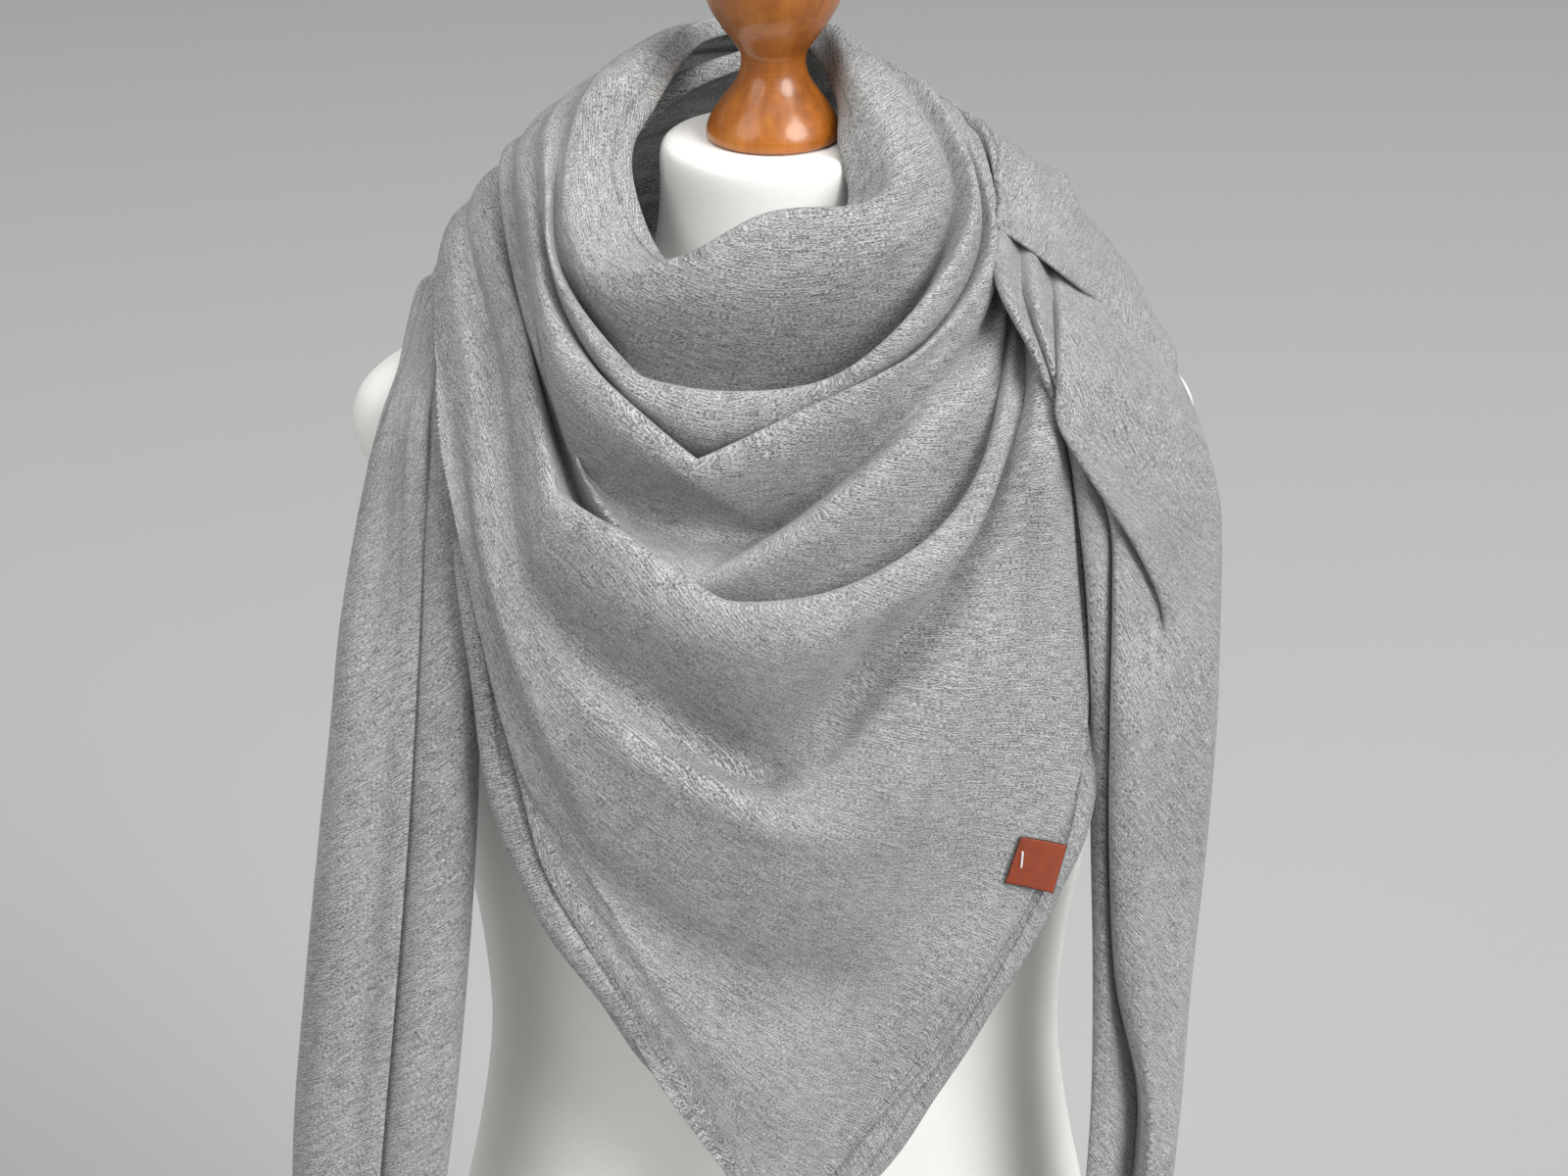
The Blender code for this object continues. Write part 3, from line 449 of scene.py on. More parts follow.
def mesh_object(
    name: str,
    points: np.ndarray,
    faces: np.ndarray | list,
    material: bpy.types.Material,
    patterns: dict[str, np.ndarray] | None = None,
    marks: dict[str, np.ndarray] | None = None,
) -> bpy.types.Object:
    """One named, smooth-shaded object.

    Args:
        name: The object's name.
        points: Vertices in metres.
        faces: Vertex numbers of each face.
        material: The one finish.
        patterns: Optional pattern coordinates in metres by name, one pair for each vertex.
        marks: Optional numbers for each vertex that the finish reads.

    Returns:
        The linked object.
    """
    mesh = bpy.data.meshes.new(name)
    mesh.from_pydata(np.asarray(points, float).tolist(), [], [tuple(map(int, f)) for f in faces])
    mesh.polygons.foreach_set("use_smooth", [True] * len(mesh.polygons))
    mesh.materials.append(material)
    corner = np.empty(len(mesh.loops), np.int32)
    mesh.loops.foreach_get("vertex_index", corner)
    for label, uv in (patterns or {}).items():
        layer = mesh.uv_layers.new(name=label)
        layer.data.foreach_set("uv", np.asarray(uv, np.float32)[corner].ravel())
    for label, values in (marks or {}).items():
        store = mesh.attributes.new(label, "FLOAT", "POINT")
        store.data.foreach_set("value", np.asarray(values, np.float32))
    mesh.update()
    item = bpy.data.objects.new(name, mesh)
    bpy.context.scene.collection.objects.link(item)
    return item


def keep(piece: bpy.types.Object, slot: str, *nodes: str) -> bpy.types.Object:
    """Tie a finished piece to the frame.

    Args:
        piece: The finished object.
        slot: The material slot of the record that it takes its finish from; not used.
        nodes: The frame's nodes that it stands for.

    Returns:
        The same object.
    """
    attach(piece, "root")
    if nodes:
        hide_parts(*nodes)
    log.info("%s: %d faces, stands for %s", piece.name, len(piece.data.polygons), nodes or "nothing")
    return piece


# ---------------------------------------------------------------- shader wiring


Value = float | tuple | bpy.types.NodeSocket


class Wiring:
    """Places the nodes of one tree and joins their sockets."""

    def __init__(self, tree: bpy.types.NodeTree) -> None:
        """Keep the tree, and where the next node goes."""
        self.tree = tree
        self.column = 0

    def add(self, kind: str, inputs: dict[str | int, Value] | None = None, **settings) -> bpy.types.Node:
        """Place one node.

        Args:
            kind: The node's type name.
            inputs: Values or sockets by the input's name or number.
            settings: The node's own settings.

        Returns:
            The node.
        """
        node = self.tree.nodes.new(kind)
        node.location = (self.column * 190, -40 * (self.column % 5))
        self.column += 1
        for key, value in settings.items():
            setattr(node, key, value)
        for key, value in (inputs or {}).items():
            if isinstance(value, bpy.types.NodeSocket):
                self.tree.links.new(value, node.inputs[key])
            else:
                node.inputs[key].default_value = value
        return node

    def math(self, operation: str, *values: Value, clamp: bool = False) -> bpy.types.NodeSocket:
        """One arithmetic step on numbers or sockets."""
        node = self.add("ShaderNodeMath", dict(enumerate(values)), operation=operation, use_clamp=clamp)
        return node.outputs[0]

    def spread(self, value: Value, low: float, high: float, to: tuple[float, float] = (0.0, 1.0)):
        """A soft rise between two values of a socket, put out between two others."""
        inputs = {"Value": value, "From Min": low, "From Max": high, "To Min": to[0], "To Max": to[1]}
        return self.add("ShaderNodeMapRange", inputs, interpolation_type="SMOOTHSTEP").outputs[0]

    def mixed(self, factor: Value, first: Value, second: Value) -> bpy.types.NodeSocket:
        """A blend of two numbers."""
        inputs = {0: factor, 2: first, 3: second}
        return self.add("ShaderNodeMix", inputs, data_type="FLOAT").outputs[0]

    def level(self) -> bpy.types.NodeSocket:
        """Places in the object's own metres."""
        return self.add("ShaderNodeTexCoord").outputs["Object"]

    def swung(self, source: Value, gain: float, base: Value = 0.5, clamp: bool = False):
        """A base that a source around 0.5 moves up and down."""
        return self.math("MULTIPLY_ADD", self.math("SUBTRACT", source, 0.5), gain, base, clamp=clamp)

    def streaks(self, vector: Value, scale: Point, detail: float = 2.0, rough: float = 0.5):
        """Soft noise with its own scale along each axis."""
        stretched = self.add("ShaderNodeMapping", {"Vector": vector, "Scale": scale}).outputs[0]
        return self.noise(stretched, 1.0, detail, rough)

    def noise(self, vector: Value, scale: Value, detail: float, rough: float) -> bpy.types.NodeSocket:
        """Soft noise between 0 and 1."""
        inputs = {"Vector": vector, "Scale": scale, "Detail": detail, "Roughness": rough}
        return self.add("ShaderNodeTexNoise", inputs, noise_dimensions="3D").outputs[0]


def group_tree(name: str, inputs: dict[str, tuple[str, float]], outputs: tuple[str, ...]):
    """A shader node group with its sockets.

    Args:
        name: The group's name.
        inputs: Socket types and first values by name.
        outputs: Names of the number outputs.

    Returns:
        The wiring of the group, its input node and its output node.
    """
    tree = bpy.data.node_groups.new(name, "ShaderNodeTree")
    for label, (kind, value) in inputs.items():
        socket = tree.interface.new_socket(label, in_out="INPUT", socket_type=kind)
        if kind == "NodeSocketFloat":
            socket.default_value = value
    for label in outputs:
        tree.interface.new_socket(label, in_out="OUTPUT", socket_type="NodeSocketFloat")
    wiring = Wiring(tree)
    return wiring, wiring.add("NodeGroupInput"), wiring.add("NodeGroupOutput")


# How strongly each part of the yarn moves its tone, how far the slubs sway a course and how high it
# stands, and the scales of the slubs and the drift against the flecks.
FLECK_GAIN = 2.9
SLUB_GAIN = 1.2
DRIFT_GAIN = 0.4
COURSE_GAIN = 0.13
COURSE_SWAY = 1.4
COURSE_HEIGHT = 0.07
SLUB_SCALE = (0.17, 0.5, 0.5)
DRIFT_SCALE = 0.12


def knitted_yarn() -> bpy.types.NodeTree:
    """The group for knitted cloth: short melange flecks and long slubs along its fine courses.

    Vector is in metres, with the courses along X. Sizes are millimetres.
    """
    made = bpy.data.node_groups.get("knitted yarn")
    if made:
        return made
    sizes = {"Vector": ("NodeSocketVector", 0.0), "Fleck Length": ("NodeSocketFloat", 2.0),
             "Fleck Thickness": ("NodeSocketFloat", 0.5), "Course": ("NodeSocketFloat", 1.5)}
    w, given, put = group_tree("knitted yarn", sizes, ("Tone", "Height"))
    across = w.add("ShaderNodeSeparateXYZ", {0: given.outputs["Vector"]})
    mm = [w.math("MULTIPLY", across.outputs[k], 1000.0) for k in range(3)]
    long = w.math("DIVIDE", mm[0], given.outputs["Fleck Length"])
    thin = w.math("DIVIDE", mm[1], given.outputs["Fleck Thickness"])
    third = w.math("DIVIDE", mm[2], given.outputs["Fleck Thickness"])
    place = w.add("ShaderNodeCombineXYZ", {0: long, 1: thin, 2: third}).outputs[0]
    fleck = w.noise(place, 1.0, 2.0, 0.6)
    slub = w.streaks(place, SLUB_SCALE, 2.0, 0.55)
    drift = w.noise(place, DRIFT_SCALE, 2.0, 0.5)
    turn = w.math("DIVIDE", w.math("MULTIPLY", mm[1], 2.0 * math.pi), given.outputs["Course"])
    course = w.math("SINE", w.math("MULTIPLY_ADD", slub, COURSE_SWAY, turn))
    tone = w.swung(drift, DRIFT_GAIN, w.swung(slub, SLUB_GAIN, w.swung(fleck, FLECK_GAIN)))
    tone = w.math("MULTIPLY_ADD", w.math("MULTIPLY", course, drift), COURSE_GAIN, tone, clamp=True)
    w.tree.links.new(tone, put.inputs["Tone"])
    w.tree.links.new(w.math("MULTIPLY_ADD", course, COURSE_HEIGHT, tone), put.inputs["Height"])
    return w.tree


def drifting_tone() -> bpy.types.NodeTree:
    """The group for slow, soft changes of tone over any finish. Size is millimetres."""
    made = bpy.data.node_groups.get("drifting tone")
    if made:
        return made
    sizes = {"Vector": ("NodeSocketVector", 0.0), "Size": ("NodeSocketFloat", 40.0)}
    w, given, put = group_tree("drifting tone", sizes, ("Tone",))
    scale = w.math("DIVIDE", 1000.0, given.outputs["Size"])
    noise = w.noise(given.outputs["Vector"], scale, 3.0, 0.5)
    w.tree.links.new(w.spread(noise, 0.25, 0.75), put.inputs["Tone"])
    return w.tree


def new_material(
    name: str, roughness: float, **constants: float
) -> tuple[bpy.types.Material, Wiring, bpy.types.Node]:
    """A material with its Principled shader.

    Args:
        name: The finish's name.
        roughness: The shader's roughness.
        constants: Other constants of the shader, by input name with underscores for spaces.

    Returns:
        The material, its wiring and the shader.
    """
    material = bpy.data.materials.new(name)
    material.use_nodes = True
    shader = material.node_tree.nodes["Principled BSDF"]
    shader.inputs["Roughness"].default_value = roughness
    for key, value in constants.items():
        shader.inputs[key.replace("_", " ")].default_value = value
    return material, Wiring(material.node_tree), shader


def colour_between(w: Wiring, factor: Value, stops: tuple[tuple[float, Colour], ...]) -> bpy.types.NodeSocket:
    """A colour ramp over a factor.

    Args:
        w: The material's wiring.
        factor: The socket that runs from 0 to 1.
        stops: Places and linear colours.

    Returns:
        The colour socket.
    """
    node = w.add("ShaderNodeValToRGB", {0: factor})
    ramp = node.color_ramp
    while len(ramp.elements) < len(stops):
        ramp.elements.new(0.5)
    for element, (place, colour) in zip(ramp.elements, stops):
        element.position = place
        element.color = (*colour, 1.0)
    return node.outputs[0]


def paint(w: Wiring, shader: bpy.types.Node, factor: Value, *stops: tuple[float, Colour]) -> None:
    """Colour a shader by a ramp over a factor."""
    w.tree.links.new(colour_between(w, factor, stops), shader.inputs["Base Color"])


def relief(w: Wiring, shader: bpy.types.Node, height: Value, strength: float, distance: float) -> None:
    """Let a height stand out of a finish by a distance in metres."""
    bump = w.add("ShaderNodeBump", {"Height": height, "Strength": strength, "Distance": distance})
    w.tree.links.new(bump.outputs[0], shader.inputs["Normal"])


# ---------------------------------------------------------------- finishes


@dataclass(frozen=True)
class MelangeKnit:
    """Grey melange sweatshirt knit: pale and dark fibres flecked along the courses, and painted shade along
    the hem's step.
    """

    dark: Colour = (0.095, 0.100, 0.100)
    middle: Colour = (0.274, 0.280, 0.278)
    light: Colour = (0.550, 0.556, 0.550)
    fleck_length: float = 1.6
    fleck_thickness: float = 0.38
    course: float = 1.5
    drift_size: float = 55.0
    drift_gain: float = 0.10
    fibre_relief: float = 0.09
    hem: float = 11.0
    # Painted shade: how much the tone darkens in a line along the foot of the hem's step.
    hem_painted_shade: float = -0.16

    def material(self) -> bpy.types.Material:
        """The finished material."""
        finish = {"Sheen_Weight": 0.22, "Sheen_Roughness": 0.5, "Specular_IOR_Level": 0.25}
        material, w, shader = new_material("grey melange knit", 0.93, **finish)
        sizes = {"Fleck Length": self.fleck_length, "Fleck Thickness": self.fleck_thickness,
                 "Course": self.course}
        followed, hanging = (
            w.add("ShaderNodeGroup", {"Vector": w.add("ShaderNodeUVMap", uv_map=name).outputs[0]},
                  node_tree=knitted_yarn())
            for name in ("grain", "bias")
        )
        for key, value in sizes.items():
            followed.inputs[key].default_value = value
            hanging.inputs[key].default_value = value
        turn = w.add("ShaderNodeAttribute", attribute_name="turn").outputs["Fac"]
        tone = w.mixed(turn, followed.outputs["Tone"], hanging.outputs["Tone"])
        height = w.mixed(turn, followed.outputs["Height"], hanging.outputs["Height"])
        place = {"Vector": w.level(), "Size": self.drift_size}
        drift = w.add("ShaderNodeGroup", place, node_tree=drifting_tone())
        tone = w.swung(drift.outputs[0], self.drift_gain, tone, clamp=True)
        # The turned hem: its double layer stands out in the bump, and a narrow band of painted shade darkens
        # the tone at the foot of its step.
        edge = w.add("ShaderNodeAttribute", attribute_name="hem_mm").outputs["Fac"]
        raised = w.spread(edge, self.hem + 0.9, self.hem - 0.9)
        outside = w.spread(edge, self.hem + 2.2, self.hem + 0.2)
        inside = w.spread(edge, self.hem - 1.4, self.hem)
        tone = w.math("MULTIPLY_ADD", w.math("MULTIPLY", outside, inside), self.hem_painted_shade, tone, clamp=True)
        paint(w, shader, tone, (0.12, self.dark), (0.5, self.middle), (0.88, self.light))
        fine = w.math("MULTIPLY", height, self.fibre_relief)
        relief(w, shader, w.math("MULTIPLY_ADD", raised, 0.9, fine), 0.55, 0.0011)
        return material


@dataclass(frozen=True)
class JerseyCover:
    """The form's white cover: fine cotton jersey stretched over the shell."""

    white: Colour = (0.92, 0.915, 0.885)
    shade: Colour = (0.87, 0.865, 0.83)

    def material(self) -> bpy.types.Material:
        """The finished material."""
        finish = {"Sheen_Weight": 0.12, "Sheen_Roughness": 0.5, "Specular_IOR_Level": 0.3}
        material, w, shader = new_material("white jersey cover", 0.85, **finish)
        level = w.level()
        turned = w.add("ShaderNodeMapping", {"Vector": level, "Rotation": (math.radians(90.0), 0.0, 0.0)})
        sizes = {"Vector": turned.outputs[0], "Fleck Length": 1.4, "Fleck Thickness": 0.45, "Course": 0.7}
        yarn = w.add("ShaderNodeGroup", sizes, node_tree=knitted_yarn())
        drift = w.add("ShaderNodeGroup", {"Vector": level, "Size": 90.0}, node_tree=drifting_tone())
        tone = w.math("MULTIPLY_ADD", yarn.outputs["Tone"], 0.35, w.math("MULTIPLY", drift.outputs[0], 0.65))
        paint(w, shader, tone, (0.2, self.shade), (0.8, self.white))
        relief(w, shader, yarn.outputs["Height"], 0.25, 0.0003)
        return material


@dataclass(frozen=True)
class VarnishedWood:
    """Turned hardwood with a honey varnish: fibres up the axis, and faint rings of the turning."""

    dark: Colour = (0.180, 0.045, 0.004)
    honey: Colour = (0.400, 0.118, 0.009)
    light: Colour = (0.540, 0.190, 0.018)

    def material(self) -> bpy.types.Material:
        """The finished material."""
        finish = {"Coat_Weight": 0.55, "Coat_Roughness": 0.16}
        material, w, shader = new_material("honey varnished wood", 0.42, **finish)
        level = w.level()
        streak = w.streaks(level, (260.0, 260.0, 9.0), 4.0, 0.6)
        broad = w.streaks(level, (46.0, 46.0, 10.0))
        ring = w.streaks(level, (6.0, 6.0, 900.0))
        tone = w.swung(ring, 0.30, w.swung(broad, 0.95, w.swung(streak, 0.75)), clamp=True)
        paint(w, shader, tone, (0.1, self.dark), (0.5, self.honey), (0.9, self.light))
        relief(w, shader, w.math("MULTIPLY_ADD", ring, 0.7, streak), 0.12, 0.0002)
        return material


@dataclass(frozen=True)
class TannedLeather:
    """Cognac vegetable-tanned leather with dark burnished edges."""

    face: Colour = (0.275, 0.044, 0.010)
    pore: Colour = (0.150, 0.021, 0.006)
    edge: Colour = (0.035, 0.008, 0.005)

    def material(self) -> bpy.types.Material:
        """The finished material."""
        material, w, shader = new_material("cognac leather", 0.52)
        level = w.level()
        cells = w.add("ShaderNodeTexVoronoi", {"Vector": level, "Scale": 1500.0}, feature="DISTANCE_TO_EDGE")
        grain = w.spread(cells.outputs[0], 0.0, 0.16)
        patch = w.noise(level, 240.0, 4.0, 0.6)
        tone = w.math("MULTIPLY_ADD", grain, 0.35, w.math("MULTIPLY", patch, 0.85))
        face = colour_between(w, tone, ((0.25, self.pore), (0.75, self.face)))
        rim = w.add("ShaderNodeAttribute", attribute_name="rim").outputs["Fac"]
        burnish = {0: w.spread(rim, 0.35, 0.9), 6: face, 7: (*self.edge, 1.0)}
        blend = w.add("ShaderNodeMix", burnish, data_type="RGBA")
        w.tree.links.new(blend.outputs[2], shader.inputs["Base Color"])
        relief(w, shader, w.math("MULTIPLY_ADD", patch, 0.6, grain), 0.4, 0.00018)
        return material


@dataclass(frozen=True)
class SewingThread:
    """Spun sewing thread."""

    name: str
    colour: Colour

    def material(self) -> bpy.types.Material:
        """The finished material."""
        material, w, shader = new_material(self.name, 0.75, Sheen_Weight=0.2)
        twist = w.noise(w.level(), 2600.0, 2.0, 0.5)
        paint(w, shader, twist, (0.3, tuple(c * 0.72 for c in self.colour)), (0.7, self.colour))
        relief(w, shader, twist, 0.3, 0.0002)
        return material


@dataclass(frozen=True)
class BrushedSteel:
    """Brushed steel of the pole."""

    tint: Colour = (0.56, 0.56, 0.57)

    def material(self) -> bpy.types.Material:
        """The finished material."""
        material, w, shader = new_material("brushed steel", 0.34, Metallic=1.0)
        brushed = w.streaks(w.level(), (40.0, 40.0, 1800.0))
        paint(w, shader, brushed, (0.3, tuple(c * 0.86 for c in self.tint)), (0.7, self.tint))
        w.tree.links.new(w.spread(brushed, 0.2, 0.8, (0.28, 0.42)), shader.inputs["Roughness"])
        return material


# ---------------------------------------------------------------- the dress form


@dataclass
class DressForm:
    """The limbless form that the shawl rests on, with its neck knob and its stand."""

    sides: int = 160
    ring_steps: int = 7
    bust_apart: float = 82.0
    bust_spread: float = 46.0
    seam_radius: float = 50.4
    base_radius: float = 0.160
    base_height: float = 0.022
    pole_radius: float = 0.0125
    collar_radius: float = 0.030
    collar_height: float = 0.026
    axis_radius: float = 0.001
    seat_gap: float = 0.0003
    bottom: float = -700.0

    def ring(self, row: np.ndarray) -> np.ndarray:
        """One level ring of the form, in millimetres."""
        height, breadth, front, back, bust, power = row
        angle = 2.0 * math.pi * np.arange(self.sides) / self.sides
        c, s = np.cos(angle), np.sin(angle)
        x = breadth * np.sign(c) * np.abs(c) ** (2.0 / power)
        depth = np.where(s > 0, back, front)
        y = depth * np.sign(s) * np.abs(s) ** (2.0 / power)
        away = (np.abs(x) - self.bust_apart) / self.bust_spread
        y = y - np.where(s < 0, bust * np.exp(-away * away) * np.minimum(1.0, -2.0 * s), 0.0)
        return np.stack([x, y, np.full_like(x, height)], axis=1)

    def rows(self) -> np.ndarray:
        """The form's rings from the bottom up, with the cover's seam just inside the neck's edge."""
        table = np.array(TORSO_RINGS[::-1], float)
        steps = (len(table) - 1) * self.ring_steps
        smooth = smooth_through(table, np.linspace(0.0, len(table) - 1.0, steps + 1))
        seam = [(-0.75, self.seam_radius + 1.1), (-0.15, self.seam_radius + 0.5), (-1.05, self.seam_radius),
                (-0.15, self.seam_radius - 0.5), (0.15, self.seam_radius - 1.2), (0.0, 40.0), (0.0, 20.0)]
        upper = [(z, r, r, r, 0.0, 2.0) for z, r in seam]
        low = smooth[0]
        hem = [(low[0], low[1] * f, low[2] * f, low[3] * f, 0.0, 2.1) for f in (0.3, 0.8, 0.955)]
        return np.concatenate([np.array(hem), smooth[smooth[:, 1] > self.seam_radius + 1.2], np.array(upper)])

    def torso(self, material: bpy.types.Material) -> bpy.types.Object:
        """The covered shell."""
        rows = self.rows()
        rings = [self.ring(row) for row in rows]
        points = np.concatenate([[(0.0, 0.0, self.bottom)], *rings, [(0.0, 0.0, 0.0)]])
        return mesh_object("form_cover", placed(points), lathe_faces(len(rows), self.sides), material)

    def stand(self, wood: bpy.types.Material, steel: bpy.types.Material) -> list[bpy.types.Object]:
        """The round base and the pole."""
        axis, top, r = self.axis_radius, self.base_height, self.base_radius
        base = rounded([(axis, 0.0), (r, 0.0), (r, top * 0.55), (r - 0.007, top), (axis, top)], 0.0035)
        foot = top + self.seat_gap
        under = NECK_PLATE_Z + self.bottom * MM - self.seat_gap
        c, h, p = self.collar_radius, self.collar_height, self.pole_radius
        lower = [(axis, foot), (c, foot), (c, foot + h * 0.7), (c * 0.7, foot + h), (p, foot + h + 0.004)]
        upper = [(p, under - 0.016), (c * 0.8, under - 0.012), (c, under - 0.004), (c, under), (axis, under)]
        pole = rounded(lower + upper, 0.0012)
        return [turned_object("stand_base", base, 128, wood), turned_object("stand_pole", pole, 64, steel)]

    def knob(self, material: bpy.types.Material) -> bpy.types.Object:
        """The turned knob on the neck plate."""
        table = np.array(KNOB_PROFILE, float)
        fine = smooth_through(table, np.linspace(0.0, len(table) - 1.0, (len(table) - 1) * 7 + 1))
        tip = [(4.2, 119.15), (2.2, 119.4), (1.0, 119.45)]
        profile = [(r * MM, NECK_PLATE_Z + z * MM) for r, z in [(1.0, 0.3), (20.0, 0.3), *fine, *tip]]
        return turned_object("neck_knob", profile, 128, material)

    def build(self) -> list[bpy.types.Object]:
        """Build, finish and tie every piece of the form."""
        wood = VarnishedWood().material()
        base, pole = self.stand(wood, BrushedSteel().material())
        return [
            keep(self.torso(JerseyCover().material()), "cover", "form_torso"),
            keep(self.knob(wood), "wood", "form_neck_knob"),
            keep(base, "wood", "form_base"),
            keep(pole, "steel", "form_pole"),
        ]


def lathe_faces(rings: int, sides: int) -> list[tuple[int, ...]]:
    """Faces of stacked rings closed by a fan at the bottom and at the top."""
    faces: list[tuple[int, ...]] = []
    last = 1 + (rings - 1) * sides
    for k in range(sides):
        after = (k + 1) % sides
        faces.append((0, 1 + after, 1 + k))
        for r in range(rings - 1):
            low = 1 + r * sides
            faces.append((low + k, low + after, low + sides + after, low + sides + k))
        faces.append((last + k, last + after, 1 + rings * sides))
    return faces


def turned_object(name: str, profile: list, sides: int, material: bpy.types.Material) -> bpy.types.Object:
    """A closed turned piece from (radius, height) pairs in metres, bottom first."""
    angle = 2.0 * math.pi * np.arange(sides) / sides
    c, s = np.cos(angle), np.sin(angle)
    rings = [np.stack([r * c, r * s, np.full(sides, z)], axis=1) for r, z in profile]
    points = np.concatenate([[(0.0, 0.0, profile[0][1])], *rings, [(0.0, 0.0, profile[-1][1])]])
    return mesh_object(name, points, lathe_faces(len(profile), sides), material)


def rounded(corners: list[tuple[float, float]], radius: float, steps: int = 4) -> list[tuple[float, float]]:
    """A profile with its inner corners rounded."""
    out = [corners[0]]
    for before, corner, after in zip(corners, corners[1:], corners[2:]):
        a, b, c = (np.array(p) for p in (before, corner, after))
        back, ahead = a - b, c - b
        reach = min(radius, 0.45 * np.linalg.norm(back), 0.45 * np.linalg.norm(ahead))
        start, end = b + unit(back) * reach, b + unit(ahead) * reach
        for t in np.linspace(0.0, 1.0, steps + 1):
            out.append(tuple((1 - t) ** 2 * start + 2 * t * (1 - t) * b + t * t * end))
    return out + [corners[-1]]


# ---------------------------------------------------------------- the shawl


@dataclass(frozen=True)
class Crease:
    """One soft ridge (height over 0) or valley (under 0) laid along a path over the cloth.

    The path's places are (row, place) on the cloth's own table, sizes are millimetres. Left is the
    width on the left of the path's way, seen from outside, where it isn't the same as the width.
    """

    name: str
    path: tuple[tuple[float, float], ...]
    height: float
    width: float
    left: float = 0.0


# Points along a crease's path, and how far round the path the cloth is looked at, in rows and places.
PATH_POINTS = 60
CREASE_REACH = 1.3

FRONT_CREASES = (
    Crease("below the collar", ((8.71, 6.58), (8.71, 6.25), (8.85, 5.92), (9.43, 5.58)), -4.5, 8.0),
    Crease("first wrinkle of the cowl", ((3.14, 6.33), (3.14, 5.92), (3.29, 5.5)), -2.5, 6.0),
    Crease("second wrinkle of the cowl", ((3.0, 6.2), (3.05, 5.8), (3.45, 5.42)), -1.8, 5.0),
    Crease("pocket of the lip", ((2.29, 6.1), (2.43, 6.42), (2.43, 6.75)), -4.0, 5.0),
    Crease("right limb's hollow", ((14.0, 5.33), (14.71, 5.17), (15.43, 4.83), (16.0, 4.42)), -6.5, 10.0,
           17.0),
    Crease("left limb's hollow", ((14.71, 3.08), (15.0, 3.42), (15.14, 3.83), (15.86, 4.33)), -5.0, 13.0),
    Crease("left limb's lip", ((15.86, 2.58), (16.0, 3.17), (16.0, 3.75), (16.57, 4.25), (17.0, 4.58)), 4.0,
           11.0),
    Crease("right limb's lip", ((17.0, 4.58), (16.71, 5.0), (16.43, 5.42), (16.29, 5.83)), 4.5, 12.0),
    Crease("low wave", ((19.14, 2.83), (19.0, 3.42), (19.0, 4.0), (20.0, 4.58)), -3.0, 16.0),
    Crease("right drop", ((16.71, 6.67), (16.5, 6.42), (16.71, 6.25), (17.14, 6.0)), -3.0, 9.0),
    Crease("right rise", ((15.71, 6.33), (16.0, 6.0), (16.29, 5.58), (16.86, 5.25)), 3.0, 11.0),
    Crease("wrinkle over the label", ((16.57, 5.75), (17.14, 5.5), (18.14, 5.42)), -1.6, 9.0),
    Crease("left drop", ((17.14, 2.08), (17.29, 2.42), (17.86, 2.67), (18.43, 3.0)), 3.0, 12.0),
    Crease("hollow beside the hem", ((20.5, 1.1), (21.3, 1.25), (22.0, 1.6), (22.3, 2.2)), -3.5, 9.0),
)
RIGHT_CREASES = (
    Crease("shoulder corner", ((7.0, 5.43), (6.0, 6.93), (5.5, 8.71)), 5.0, 7.0),
    Crease("pocket under the corner", ((7.5, 4.5), (7.67, 3.14), (8.0, 2.5)), -5.5, 8.0),
    Crease("wrinkle of the tail", ((16.33, 11.0), (16.5, 8.9), (16.83, 8.29)), -1.6, 5.0),
    Crease("long drop of the tail", ((16.33, 5.57), (17.33, 6.0), (18.17, 6.29), (19.0, 6.71)), 1.8, 9.0),
    Crease("side of the tail", ((14.5, 10.0), (16.67, 9.2), (17.83, 9.2)), -2.0, 11.0),
)
LEFT_CREASES = (
    Crease("left tail hollow", ((8.83, 10.0), (9.67, 10.43), (10.67, 10.21), (11.5, 10.29)), -3.0, 9.0),
    Crease("left tail rise", ((8.67, 7.43), (9.5, 7.86), (10.33, 8.43)), 2.5, 8.0),
    Crease("left tail long drop", ((12.0, 9.2), (13.5, 9.0), (15.0, 8.6)), -2.0, 10.0),
)


@dataclass
class Patch:
    """One grid of the cloth with its places on the table, its numbers in the mesh and its marks.

    The pattern is in metres and the distance to the hem in millimetres. Turn is the angle between the
    courses and the way that the cloth hangs, and share how much of that turn shows at each point.
    """

    grid: np.ndarray
    down: np.ndarray
    across: np.ndarray
    index: np.ndarray
    flip: bool
    uv: np.ndarray
    hem: np.ndarray
    turn: float = 0.0
    share: np.ndarray | float = 0.0
    hangs: bool = False


